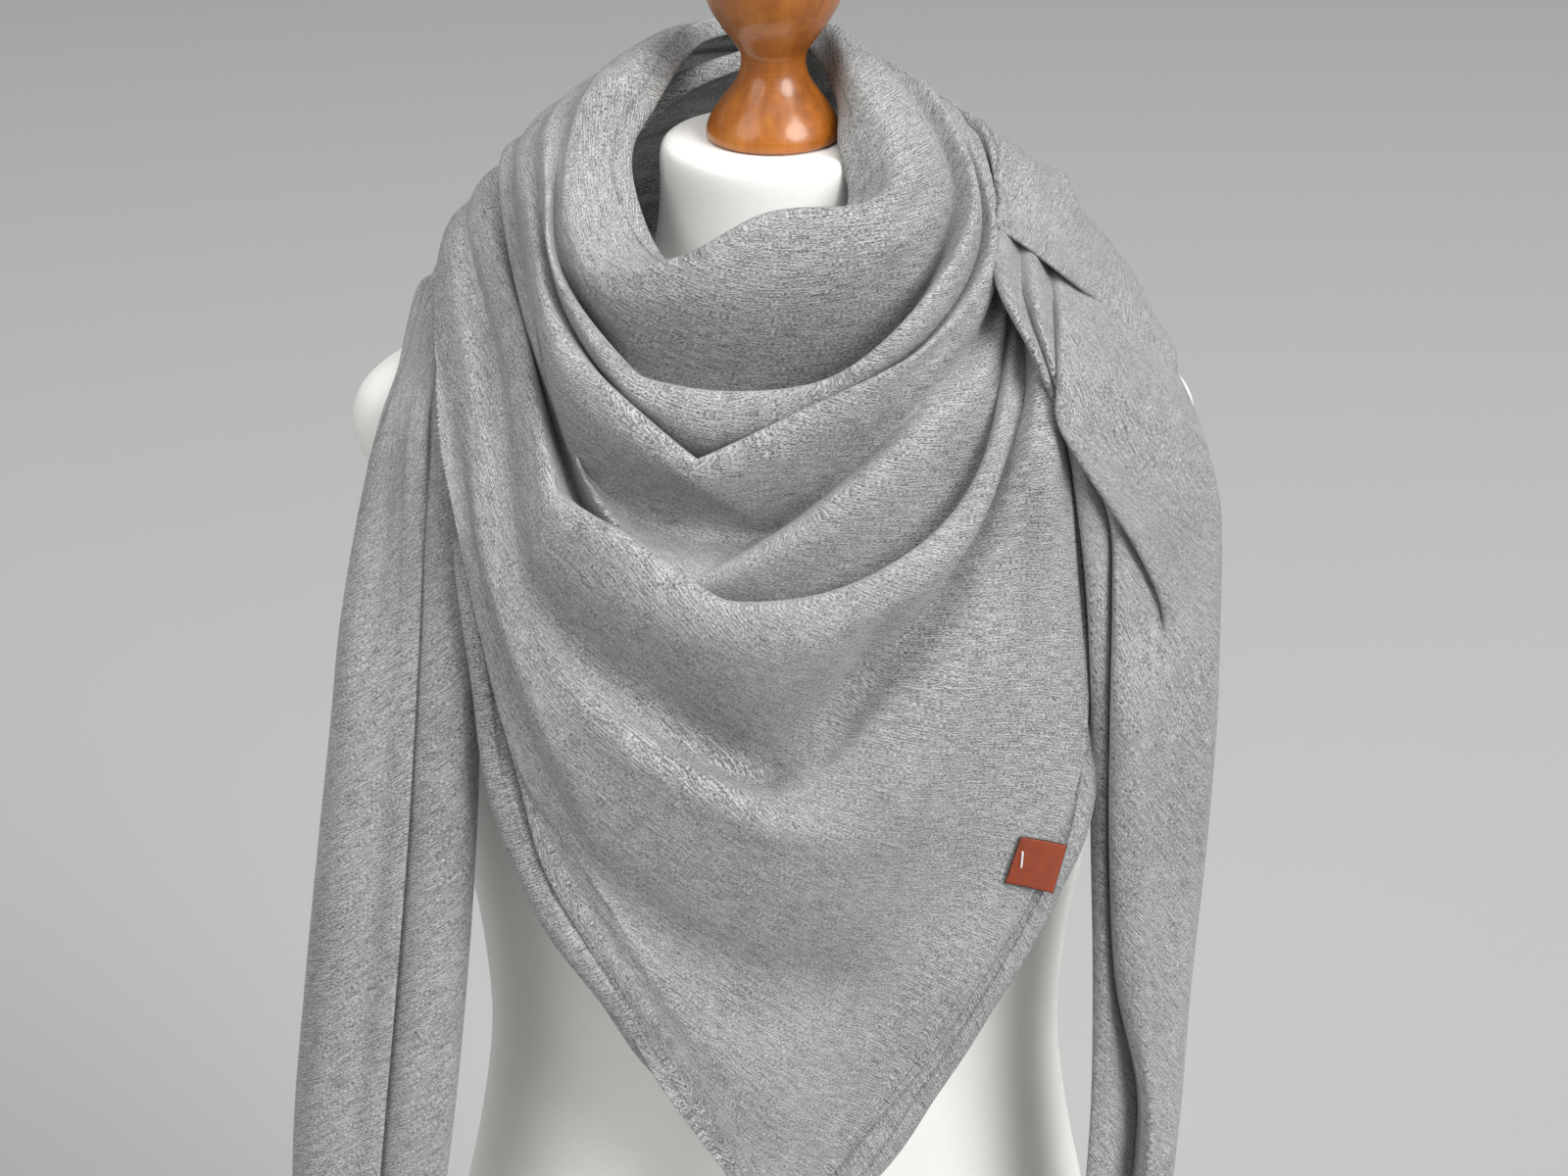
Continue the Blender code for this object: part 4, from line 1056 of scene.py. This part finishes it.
@dataclass
class Shawl:
    """The one triangular cloth: its front, two strands round the nape, and strips of its lower layer."""

    wall: float = 0.0020
    seam_rows: int = len(STRAND_PLACES)
    row_steps: int = 7
    place_steps: int = 12
    station_steps: int = 6
    strip_steps: tuple[int, int] = (9, 8)
    strip_roll: float = 4.5
    body_middle: Point = (0.0, 20.0, -60.0)
    tail_lean: Point = (0.0, 0.5, 0.9)
    edge_ends: tuple[float, float] = (1.0, 0.4)
    no_hem: float = 60.0
    strand_blend: tuple[float, float] = (1.0, 2.2)
    bias_rows: tuple[float, float] = (8.0, 12.0)
    bias_places: tuple[float, float] = (3.0, 6.0)
    cut_turn: float = -20.0
    front_turn: float = -38.0
    left_turn: float = 60.0
    right_turn: float = 45.0
    cut: tuple[float, float] = (2.45, 0.75)
    cut_area: float = 0.56
    knit: MelangeKnit = field(default_factory=MelangeKnit)
    made: list[Patch] = field(default_factory=list)

    def folds(self) -> np.ndarray:
        """The front's table: rows, places, (x, y, height)."""
        return np.array([row[1:] for row in FRONT_FOLDS], float)

    def band_station(
        self, roll: tuple, lower: Point, bulge: float, pleat: float, heading: np.ndarray
    ) -> np.ndarray:
        """Points across a band at one station; heading is the way the band runs there."""
        top, low = np.array(roll[2], float), np.array(lower, float)
        out = unit(np.cross(low - top, heading))
        if np.dot(out, (top + low) / 2 - np.array(self.body_middle)) < 0:
            out = -out
        across, lift = np.array(BAND_PLEATS, float).T
        lift = 4.0 * bulge * across * (1.0 - across) + pleat * lift
        return np.concatenate([roll[:2], top + (low - top) * across[:, None] + out * lift[:, None]])

    def tail_station(
        self, inner: Point, outer: Point, depth: float, folded: float, bulge: float, pleats: tuple
    ) -> np.ndarray:
        """Points across a tail at one station: the pleats laid behind its front line."""
        near, far = np.array(inner, float), np.array(outer, float)
        out = unit(np.cross(far - near, self.tail_lean))
        out *= -1.0 if out[1] > 0 else 1.0
        inward = np.array((0.0, 1.0, 0.0)) * folded - out * (1.0 - folded)
        across, back = np.array(pleats, float).T
        flat = np.linspace(0.0, 1.0, len(across))
        place = flat + (across - flat) * folded
        lift = 4.0 * bulge * place * (1.0 - place)
        return near + (far - near) * place[:, None] + out * lift[:, None] + inward * (depth * back)[:, None]

    def strand_controls(self, side: Side) -> np.ndarray:
        """Controls of one end of the cloth: the front's side, behind the neck, and down the tail."""
        left = side is Side.LEFT
        band, tail = (OUTER_BAND, RIGHT_TAIL) if left else (INNER_BAND, LEFT_TAIL)
        whole = [k for k, place in enumerate(STRAND_PLACES) if place == int(place)]
        folds = self.folds()[whole]
        edge, inward = (0, 1) if left else (-1, -2)
        rows = [folds[:, inward], folds[:, edge]]
        middles = [(folds[2, edge] + folds[-1, edge]) / 2]
        middles += [(np.array(row[1][2]) + np.array(row[2])) / 2 for row in band]
        middles.append((np.array(tail[0][1]) + np.array(tail[0][2])) / 2)
        for k, (_, roll, lower, bulge, pleat) in enumerate(band):
            rows.append(self.band_station(roll, lower, bulge, pleat, middles[k + 2] - middles[k]))
        rows += [self.tail_station(*station[1:]) for station in tail]
        return np.array(rows, float)

    def front_controls(self, left: np.ndarray, right: np.ndarray) -> np.ndarray:
        """The front's rows, each carried one place further at both sides so that it runs on."""
        folds = self.folds()
        before = 2 * folds[:, 0] - folds[:, 1]
        after = 2 * folds[:, -1] - folds[:, -2]
        before[: self.seam_rows] = smooth_through(left[2], STRAND_PLACES)
        after[: self.seam_rows] = smooth_through(right[2], STRAND_PLACES)
        return np.concatenate([before[:, None], folds, after[:, None]], axis=1)

    def front(self, controls: np.ndarray) -> Patch:
        """The front as a fine patch, from the neckline to the point."""
        rows, places = controls.shape[0] - 1, controls.shape[1] - 3
        down = np.linspace(0.0, rows, rows * self.row_steps + 1)
        across = np.linspace(0.0, places, places * self.place_steps + 1)
        crisp = np.zeros(controls.shape[:2])
        names = [row[0] for row in FRONT_FOLDS]
        for name, place, sharpness in SHARP_TURNS:
            crisp[names.index(name), place + 1] = sharpness
        grid = surface(controls, down, across + 1.0, crisp)
        along, below = run_length(grid, 1), run_length(grid, 0)
        middle = along[:, along.shape[1] // 2][:, None]
        uv = np.stack([along - middle, below], axis=-1) * MM
        side = np.minimum(along, along[:, -1:] - along)
        start, end = (self.seam_rows - back for back in self.edge_ends)
        side = side + (1.0 - smooth_step(start, end, down)[:, None]) * self.no_hem
        hem = np.minimum(np.minimum(side, below), below[-1:] - below)
        share = smooth_step(*self.bias_rows, down)[:, None] * (1.0 - smooth_step(*self.bias_places, across))
        turn = math.radians(self.front_turn)
        return Patch(grid, down, across, numbered(grid), False, laid_flat(grid, uv), hem, turn, share)

    def strand(self, controls: np.ndarray, side: Side, front: Patch, first: int) -> Patch:
        """One end of the cloth as a fine patch that starts on the front's own side points.

        Args:
            controls: The strand's controls.
            side: The shoulder where it starts.
            front: The front's patch, for the shared points.
            first: The number of the strand's first own vertex.

        Returns:
            The patch.
        """
        left = side is Side.LEFT
        last = len(controls) - 1.0
        down = np.linspace(1.0, last, int(round((last - 1.0) * self.station_steps)) + 1)
        rows = (self.seam_rows - 1) * self.row_steps
        across = np.interp(front.down[: rows + 1], np.arange(self.seam_rows), STRAND_PLACES)
        grid = surface(controls, down, across)
        column = 0 if left else -1
        start = front.grid[: rows + 1, column]
        grid += (start - grid[0]) * (1.0 - smooth_step(*self.strand_blend, down))[:, None, None]
        index = np.concatenate([front.index[: rows + 1, column][None], numbered(grid[1:], first)])
        along, over = run_length(grid, 0), run_length(grid, 1)
        begin = front.uv[: rows + 1, column]
        away = (-1.0 if left else 1.0) * along * MM
        uv = np.stack([begin[None, :, 0] + away, np.broadcast_to(begin[None, :, 1], away.shape)], axis=-1)
        hem = np.minimum(np.minimum(over, over[:, -1:] - over), along[-1:] - along)
        turn = math.radians(self.right_turn if left else self.left_turn)
        share = smooth_step(*self.bias_rows, down)[:, None] * np.ones(grid.shape[1])
        flat = laid_flat(grid, uv, pinned=True)
        return Patch(grid, down, across, index, not left, flat, hem, turn, share, hangs=True)

    def strip(self, table: tuple, first: int, flip: bool) -> Patch:
        """A strip of the lower layer as a fine patch."""
        controls = np.array(table, float)
        rows, places = self.strip_steps
        down = np.linspace(0.0, len(controls) - 1.0, (len(controls) - 1) * rows + 1)
        across = np.linspace(0.0, 1.0, places + 1)
        grid = surface(controls, down, across)
        grid[..., 1] -= 4.0 * self.strip_roll * across * (1.0 - across)
        along, below = run_length(grid, 1), run_length(grid, 0)
        uv = np.stack([along, below], axis=-1) * MM
        return Patch(grid, down, across, numbered(grid, first), flip, uv, along[:, -1:] - along)

    @staticmethod
    def turned(uv: np.ndarray, angle: float) -> np.ndarray:
        """Pattern coordinates turned by an angle in radians."""
        c, s = math.cos(angle), math.sin(angle)
        return uv @ np.array([[c, -s], [s, c]]).T

    def bias(self, patch: Patch) -> np.ndarray:
        """The pattern coordinates turned to the way that the cloth hangs there."""
        if patch.hangs:
            over, along = run_length(patch.grid, 1), run_length(patch.grid, 0)
            middle = over.shape[1] * 3 // 5
            along = np.broadcast_to(along[:, middle][:, None], over.shape)
            return self.turned(np.stack([along, over - over[:, middle][:, None]], axis=-1) * MM, -patch.turn)
        return self.turned(patch.uv, patch.turn)

    @staticmethod
    def crease(patch: Patch, creases: tuple[Crease, ...], out: np.ndarray) -> None:
        """Lay soft ridges and valleys over a patch.

        Args:
            patch: The patch, whose grid is changed.
            creases: What is laid.
            out: The way out at each point of the patch.
        """
        rows, places = np.meshgrid(patch.down, patch.across, indexing="ij")
        lift = np.zeros(rows.shape)
        for item in creases:
            steps = np.linspace(0.0, len(item.path) - 1.0, PATH_POINTS)
            path = smooth_through(np.array(item.path, float), steps).T
            at_line = tuple(
                np.round(np.interp(run, known, np.arange(len(known)))).astype(int)
                for run, known in zip(path, (patch.down, patch.across))
            )
            line = patch.grid[at_line]
            leftward = np.cross(out[at_line], np.gradient(line, axis=0))
            near = np.ones(rows.shape, bool)
            for run, at in zip(path, (rows, places)):
                near &= (at > run.min() - CREASE_REACH) & (at < run.max() + CREASE_REACH)
            points = patch.grid[near]
            gap = np.linalg.norm(points[:, None] - line[None], axis=-1)
            closest = gap.argmin(axis=1)
            place = np.clip(closest / (PATH_POINTS - 1.0), 0.015, 0.985)
            taper = np.sqrt(np.clip(np.sin(math.pi * place), 0.0, 1.0))
            on_left = np.einsum("ij,ij->i", points - line[closest], leftward[closest]) > 0
            width = np.where(on_left, item.left or item.width, item.width)
            lift[near] += item.height * taper * np.exp(-((gap.min(axis=1) / width) ** 2))
        patch.grid += out * lift[..., None]

    def patches(self) -> list[Patch]:
        """Every stretch of the cloth, with shared points where they run on into each other."""
        left, right = self.strand_controls(Side.LEFT), self.strand_controls(Side.RIGHT)
        front = self.front(self.front_controls(left, right))
        outer = self.strand(left, Side.LEFT, front, front.grid[..., 0].size)
        inner = self.strand(right, Side.RIGHT, front, int(outer.index.max()) + 1)
        under_left = self.strip(LEFT_UNDER_LAYER, int(inner.index.max()) + 1, True)
        under_right = self.strip(RIGHT_UNDER_LAYER, int(under_left.index.max()) + 1, False)
        return [front, outer, inner, under_left, under_right]

    def build(self) -> bpy.types.Object:
        patches = self.patches()
        count = int(patches[-1].index.max()) + 1
        quads = np.concatenate([quads_of(p.index, p.flip) for p in patches])

        def gathered(read) -> np.ndarray:
            """The values of all patches by vertex number."""
            first = np.asarray(read(patches[0]))
            values = np.zeros((count, *first.shape[2:]))
            for patch in patches[::-1]:
                values[patch.index] = read(patch)
            return values

        out = normals_of(gathered(lambda p: p.grid), quads)
        for patch, creases in zip(patches, (FRONT_CREASES, RIGHT_CREASES, LEFT_CREASES)):
            self.crease(patch, creases, out[patch.index])
        self.made = patches
        cut_turn = math.radians(self.cut_turn)
        turn = gathered(lambda p: p.share * np.ones(p.hem.shape))
        marks = {"hem_mm": gathered(lambda p: p.hem), "turn": turn}
        patterns = {"grain": gathered(lambda p: self.turned(p.uv, cut_turn)), "bias": gathered(self.bias)}
        points = placed(gathered(lambda p: p.grid))
        item = mesh_object("shawl", points, quads, self.knit.material(), patterns, marks)
        solid = item.modifiers.new("Wall", "SOLIDIFY")
        solid.thickness = self.wall
        solid.offset = 0.0
        solid.use_even_offset = False
        return keep(item, "knit", "shawl_front", "shawl_outer_band", "shawl_outer_tail", "shawl_inner_band",
                    "shawl_inner_tail", "shawl_under_left", "shawl_under_right")


# ---------------------------------------------------------------- label and stitching


@dataclass
class LeatherLabel:
    """The square leather label near the right edge of the front, with its one white stitch.

    Its place is (row, place) on the front's table, and sizes are millimetres.
    """

    side: float = 24.8
    thick: float = 1.4
    gap: float = 0.7
    place: tuple[float, float] = (21.15, 7.75)
    top_edge: Point = (0.95, 0.09, -0.30)
    reach: float = 0.9
    samples: int = 30
    steps: int = 48
    rounding: float = 0.35
    burnished: float = 0.30
    stitch_half: float = 4.4
    stitch_lean: float = 1.1
    stitch_radius: float = 0.52

    def frame(self, shawl: Shawl) -> tuple[np.ndarray, np.ndarray, np.ndarray, float]:
        """Where the label lies on the cloth.

        Args:
            shawl: The cloth under it.

        Returns:
            Its centre, its three sides' directions, its bend's terms and the lift of its middle plane.
        """
        left, right = shawl.strand_controls(Side.LEFT), shawl.strand_controls(Side.RIGHT)
        controls = shawl.front_controls(left, right)
        ticks = np.linspace(-self.reach, self.reach, 2 * self.samples + 1)
        patch = surface(controls, self.place[0] + ticks, self.place[1] + ticks)
        m = self.samples
        centre = patch[m, m]
        out = unit(np.cross(patch[m + 1, m] - centre, patch[m, m + 1] - centre))
        out *= -1.0 if out[1] > 0 else 1.0
        along = np.array(self.top_edge)
        along = unit(along - out * np.dot(out, along))
        sides = np.stack([along, np.cross(out, along), out])
        local = (patch - centre) @ sides.T
        under = local[(np.abs(local[..., :2]) < 0.6 * self.side).all(axis=-1)]
        terms = self.terms(under[:, 0], under[:, 1])
        bend = np.linalg.lstsq(terms, under[:, 2], rcond=None)[0]
        lift = np.max(under[:, 2] - terms @ bend) + shawl.wall / MM / 2 + self.gap + self.thick / 2
        return centre, sides, bend, float(lift)

    @staticmethod
    def terms(u: np.ndarray, v: np.ndarray) -> np.ndarray:
        """The terms of a gently bent sheet over its own two directions."""
        return np.stack([np.ones_like(u), u, v, u * u, u * v, v * v], axis=-1)

    def build(self, shawl: Shawl) -> list[bpy.types.Object]:
        """Build the leather square and its stitch."""
        centre, sides, bend, lift = self.frame(shawl)
        half = self.side / 2
        edge = np.linspace(-half, half, self.steps + 1)
        v, u = np.meshgrid(edge, edge, indexing="ij")
        inset = half - np.maximum(np.abs(u), np.abs(v))
        sheets = []
        full = 1.0 - np.exp(-inset / self.rounding)
        for sign in (1.0, -1.0):
            height = self.terms(u, v) @ bend + lift + sign * self.thick / 2 * (0.55 + 0.45 * full)
            sheets.append(centre + np.stack([u, v, height], axis=-1) @ sides)
        index = numbered(u)
        around = np.concatenate([index[0, :-1], index[:-1, -1], index[-1, :0:-1], index[:0:-1, 0]])
        after = np.roll(around, -1)
        edge_faces = np.stack([around + u.size, after + u.size, after, around], axis=-1)
        faces = np.concatenate([quads_of(index, True), quads_of(index + u.size), edge_faces])
        points = placed(np.concatenate([s.reshape(-1, 3) for s in sheets]))
        marks = {"rim": np.tile(np.exp(-inset / self.burnished).ravel(), 2)}
        leather = mesh_object("leather_label", points, faces, TannedLeather().material(), None, marks)
        keep(leather, "leather", "label")
        return [leather, self.stitch(centre, sides, bend, lift)]

    def stitch(
        self, centre: np.ndarray, sides: np.ndarray, bend: np.ndarray, lift: float
    ) -> bpy.types.Object:
        """The one upright white stitch near the label's left side."""
        run = np.linspace(-1.0, 1.0, 41)
        u = -self.side * 0.33 - self.stitch_lean * run
        v = 1.0 + run * self.stitch_half
        over = self.thick / 2 + 0.75 * np.sqrt(np.clip(1.0 - np.abs(run) ** 6, 0.0, 1.0)) - 0.35
        path = centre + np.stack([u, v, self.terms(u, v) @ bend + lift + over], axis=-1) @ sides
        thread = SewingThread("white thread", (0.86, 0.83, 0.80)).material()
        radius = self.stitch_radius * np.clip(1.25 - np.abs(run) ** 8, 0.3, 1.0)
        return keep(tube("label_stitch", placed(path), radius * MM, 10, thread), "leather")


def tube(
    name: str, path: np.ndarray, radius: np.ndarray, sides: int, material: bpy.types.Material
) -> bpy.types.Object:
    """A closed tube along a path, with its own radius at each point."""
    ahead = unit(np.gradient(path, axis=0))
    side = unit(np.cross(ahead, (0.0, -1.0, 0.05)))
    up = np.cross(side, ahead)
    angle = 2.0 * math.pi * np.arange(sides) / sides
    rings = path[:, None] + radius[:, None, None] * (
        side[:, None] * np.cos(angle)[None, :, None] + up[:, None] * np.sin(angle)[None, :, None]
    )
    points = np.concatenate([[path[0]], rings.reshape(-1, 3), [path[-1]]])
    return mesh_object(name, points, lathe_faces(len(path), sides), material)


@dataclass
class HemStitching:
    """Rows of stitches that hold the turned hem, laid by Geometry Nodes along the cloth's edges.

    Each stitch is a share of the full size, between the least and the most. The inset is millimetres,
    the other lengths metres, and the rows are those of the patches where a stretch of hem runs.
    """

    pitch: float = 0.0030
    length: float = 0.0022
    thickness: float = 0.00042
    least: float = 0.85
    most: float = 1.12
    inset: float = 8.6
    seed: int = 7
    strand_rows: tuple[int, int] = (44, -3)
    front_end: int = -9

    def tree(self) -> bpy.types.NodeTree:
        """The Geometry Nodes tree that lays one stitch at each step of a path."""
        tree = bpy.data.node_groups.new("stitch row", "GeometryNodeTree")
        sockets = {"Path": "Geometry", "Pitch": "Float", "Length": "Float", "Thickness": "Float",
                   "Seed": "Int", "Thread": "Material"}
        for label, kind in sockets.items():
            tree.interface.new_socket(label, in_out="INPUT", socket_type=f"NodeSocket{kind}")
        tree.interface.new_socket("Stitches", in_out="OUTPUT", socket_type="NodeSocketGeometry")
        w = Wiring(tree)
        given = w.add("NodeGroupInput").outputs
        put = w.add("NodeGroupOutput")
        pitch = {"Curve": given["Path"], "Length": given["Pitch"]}
        steps = w.add("GeometryNodeResampleCurve", pitch, mode="LENGTH")
        one = w.add("GeometryNodeMeshUVSphere", {"Segments": 6, "Rings": 4, "Radius": 0.5})
        tangent = w.add("GeometryNodeInputTangent").outputs[0]
        turn = w.add("FunctionNodeAlignRotationToVector", {"Vector": tangent}, axis="Z").outputs[0]
        across, along = given["Thickness"], given["Length"]
        size = w.add("ShaderNodeCombineXYZ", {0: across, 1: across, 2: along}).outputs[0]
        limits = {2: self.least, 3: self.most, "Seed": given["Seed"]}
        share = w.add("FunctionNodeRandomValue", limits, data_type="FLOAT").outputs[1]
        size = w.add("ShaderNodeVectorMath", {0: size, 3: share}, operation="SCALE").outputs[0]
        each = {"Points": steps.outputs[0], "Instance": one.outputs[0], "Rotation": turn, "Scale": size}
        laid = w.add("GeometryNodeInstanceOnPoints", each)
        real = w.add("GeometryNodeRealizeInstances", {0: laid.outputs[0]})
        dressed = w.add("GeometryNodeSetMaterial", {"Geometry": real.outputs[0], "Material": given["Thread"]})
        tree.links.new(dressed.outputs[0], put.inputs[0])
        return tree

    def paths(self, shawl: Shawl) -> list[np.ndarray]:
        """The hem's stitch lines over the cloth, in metres.

        Args:
            shawl: The cloth, already built.

        Returns:
            One path for each stretch of hem.
        """
        front, outer, inner = shawl.made[:3]
        lift = shawl.wall / MM / 2 + self.thickness / MM * 0.3
        lines = []
        front_rows = (int((shawl.seam_rows - 0.8) * shawl.row_steps), self.front_end)
        rows = (front_rows, self.strand_rows, self.strand_rows)
        for patch, ends, flip in zip((front, outer, inner), rows, (1.0, -1.0, 1.0)):
            for side in (1, -1):
                grid = patch.grid[:, ::side]
                line = []
                for r in range(*slice(*ends).indices(len(grid))):
                    row = grid[r]
                    run = run_length(row, 0)
                    if run[-1] < 3 * self.inset:
                        continue
                    at = np.array([np.interp(self.inset, run, row[:, k]) for k in range(3)])
                    k = int(np.searchsorted(run, self.inset))
                    out = unit(np.cross(grid[r + 1, k] - grid[r - 1, k], row[k] - row[k - 1]))
                    line.append(at + out * side * flip * lift)
                lines.append(placed(np.array(line)))
        return lines

    def build(self, shawl: Shawl) -> bpy.types.Object:
        """Lay every row of stitches, as one plain mesh."""
        curve = bpy.data.curves.new("stitch_paths", "CURVE")
        curve.dimensions = "3D"
        for line in self.paths(shawl):
            spline = curve.splines.new("POLY")
            spline.points.add(len(line) - 1)
            spline.points.foreach_set("co", np.concatenate([line, np.ones((len(line), 1))], axis=1).ravel())
        holder = bpy.data.objects.new("stitch_paths", curve)
        bpy.context.scene.collection.objects.link(holder)
        tree = self.tree()
        modifier = holder.modifiers.new("Stitches", "NODES")
        modifier.node_group = tree
        thread = SewingThread("grey thread", (0.52, 0.53, 0.53)).material()
        values = {"Pitch": self.pitch, "Length": self.length, "Thickness": self.thickness,
                  "Seed": self.seed, "Thread": thread}
        for socket in tree.interface.items_tree:
            if socket.name in values:
                modifier[socket.identifier] = values[socket.name]
        bpy.context.view_layer.update()
        graph = bpy.context.evaluated_depsgraph_get()
        mesh = bpy.data.meshes.new_from_object(holder.evaluated_get(graph), depsgraph=graph)
        mesh.name = "hem_stitches"
        item = bpy.data.objects.new("hem_stitches", mesh)
        bpy.context.scene.collection.objects.link(item)
        bpy.data.objects.remove(holder, do_unlink=True)
        return keep(item, "knit")


# ---------------------------------------------------------------- studio


# Even daylight: name, where it comes from, how wide it spreads in degrees, strength.
DAYS = (
    ("right_day", (0.74, -0.70, 0.64), 34.0, 2.8),
    ("overhead_day", (0.0, -0.15, 1.0), 40.0, 1.6),
    ("left_day", (-0.80, -0.62, 0.68), 40.0, 0.9),
)


@dataclass
class Studio:
    """A pale floor with a painted pool of light, soft daylight from the right, above and the left, and the
    picture's camera.
    """

    camera_place: Point = (0.005, -1.72, 1.489)
    pitch: float = 24.0
    focal_px: float = 3802.0
    width_px: float = 1600.0
    sensor: float = 36.0
    floor_grey: Colour = (0.455, 0.455, 0.45)
    floor_reach: float = 14.0
    # Painted light on the floor: the pool's brightest place (x, y) in metres, how fast it darkens along each
    # axis, the distance over which it fades, and the share of the grey left far away.
    floor_light_pool_centre: tuple[float, float] = (0.7, 0.4)
    floor_light_pool_falloff: tuple[float, float] = (0.55, 0.75)
    floor_light_pool_reach: float = 3.2
    floor_painted_far_dimming: float = 0.52
    window_place: Point = (0.9, -2.4, 2.4)
    window_aim: Point = (0.0, -0.05, 0.85)
    window_side: float = 1.2
    window_power: float = 5.0
    air: Colour = (0.97, 0.98, 1.0)
    air_strength: float = 0.18

    def light(self, name: str, kind: str, energy: float, toward: Vector, **settings) -> bpy.types.Object:
        """One light, its energy and its other settings; toward is where it comes from."""
        data = bpy.data.lights.new(name, kind)
        data.energy = energy
        for key, value in settings.items():
            setattr(data, key, value)
        lamp = bpy.data.objects.new(name, data)
        lamp.rotation_euler = (-toward).to_track_quat("-Z", "Y").to_euler()
        bpy.context.scene.collection.objects.link(lamp)
        return lamp

    def floor(self) -> bpy.types.Object:
        """The floor, with a painted pool of light: its colour darkens slowly away from the pool's brightest
        place.
        """
        material, w, shader = new_material("pale floor", 0.9)
        place = w.add("ShaderNodeSeparateXYZ", {0: w.level()}).outputs
        aside, back = (
            w.math("MULTIPLY", w.math("SUBTRACT", place[k], self.floor_light_pool_centre[k]), self.floor_light_pool_falloff[k])
            for k in range(2)
        )
        squares = w.math("ADD", w.math("POWER", aside, 2.0), w.math("POWER", back, 2.0))
        away = w.math("DIVIDE", w.math("SQRT", squares), self.floor_light_pool_reach, clamp=True)
        far = tuple(c * self.floor_painted_far_dimming for c in self.floor_grey)
        # Painted light: the floor grey darkens with distance from the bright place.
        paint(w, shader, away, (0.0, self.floor_grey), (1.0, far))
        corners = np.array([(-1, -1, 0), (1, -1, 0), (1, 1, 0), (-1, 1, 0)]) * self.floor_reach
        return mesh_object("floor", corners, [(0, 1, 2, 3)], material)

    def build(self) -> None:
        """Place the floor, the lights, the air's light and the camera."""
        scene = bpy.context.scene
        self.floor()
        for name, toward, spread, strength in DAYS:
            self.light(name, "SUN", strength, Vector(toward), angle=math.radians(spread))
        place = Vector(self.window_place)
        window = {"shape": "SQUARE", "size": self.window_side}
        lamp = self.light("window", "AREA", self.window_power, place - Vector(self.window_aim), **window)
        lamp.location = place
        world = scene.world or bpy.data.worlds.new("air")
        scene.world = world
        world.use_nodes = True
        air = world.node_tree.nodes.get("Background") or world.node_tree.nodes.new("ShaderNodeBackground")
        air.inputs["Color"].default_value = (*self.air, 1.0)
        air.inputs["Strength"].default_value = self.air_strength
        scene.view_settings.view_transform = "Standard"
        camera = bpy.data.cameras.new("camera")
        camera.sensor_width = self.sensor
        camera.lens = self.focal_px / self.width_px * self.sensor
        eye = bpy.data.objects.new("camera", camera)
        eye.location = self.camera_place
        eye.rotation_euler = (math.radians(90.0 - self.pitch), 0.0, 0.0)
        scene.collection.objects.link(eye)
        scene.camera = eye


def main() -> None:
    """Load the frame, then build the form, the cloth and the studio in order."""
    logging.basicConfig(level=logging.INFO, format="%(name)s: %(message)s")
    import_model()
    form = DressForm().build()
    shawl = Shawl()
    cloth = shawl.build()
    label, label_stitch = LeatherLabel().build(shawl)
    stitches = HemStitching().build(shawl)
    Studio().build()


if __name__ == "__main__":
    main()
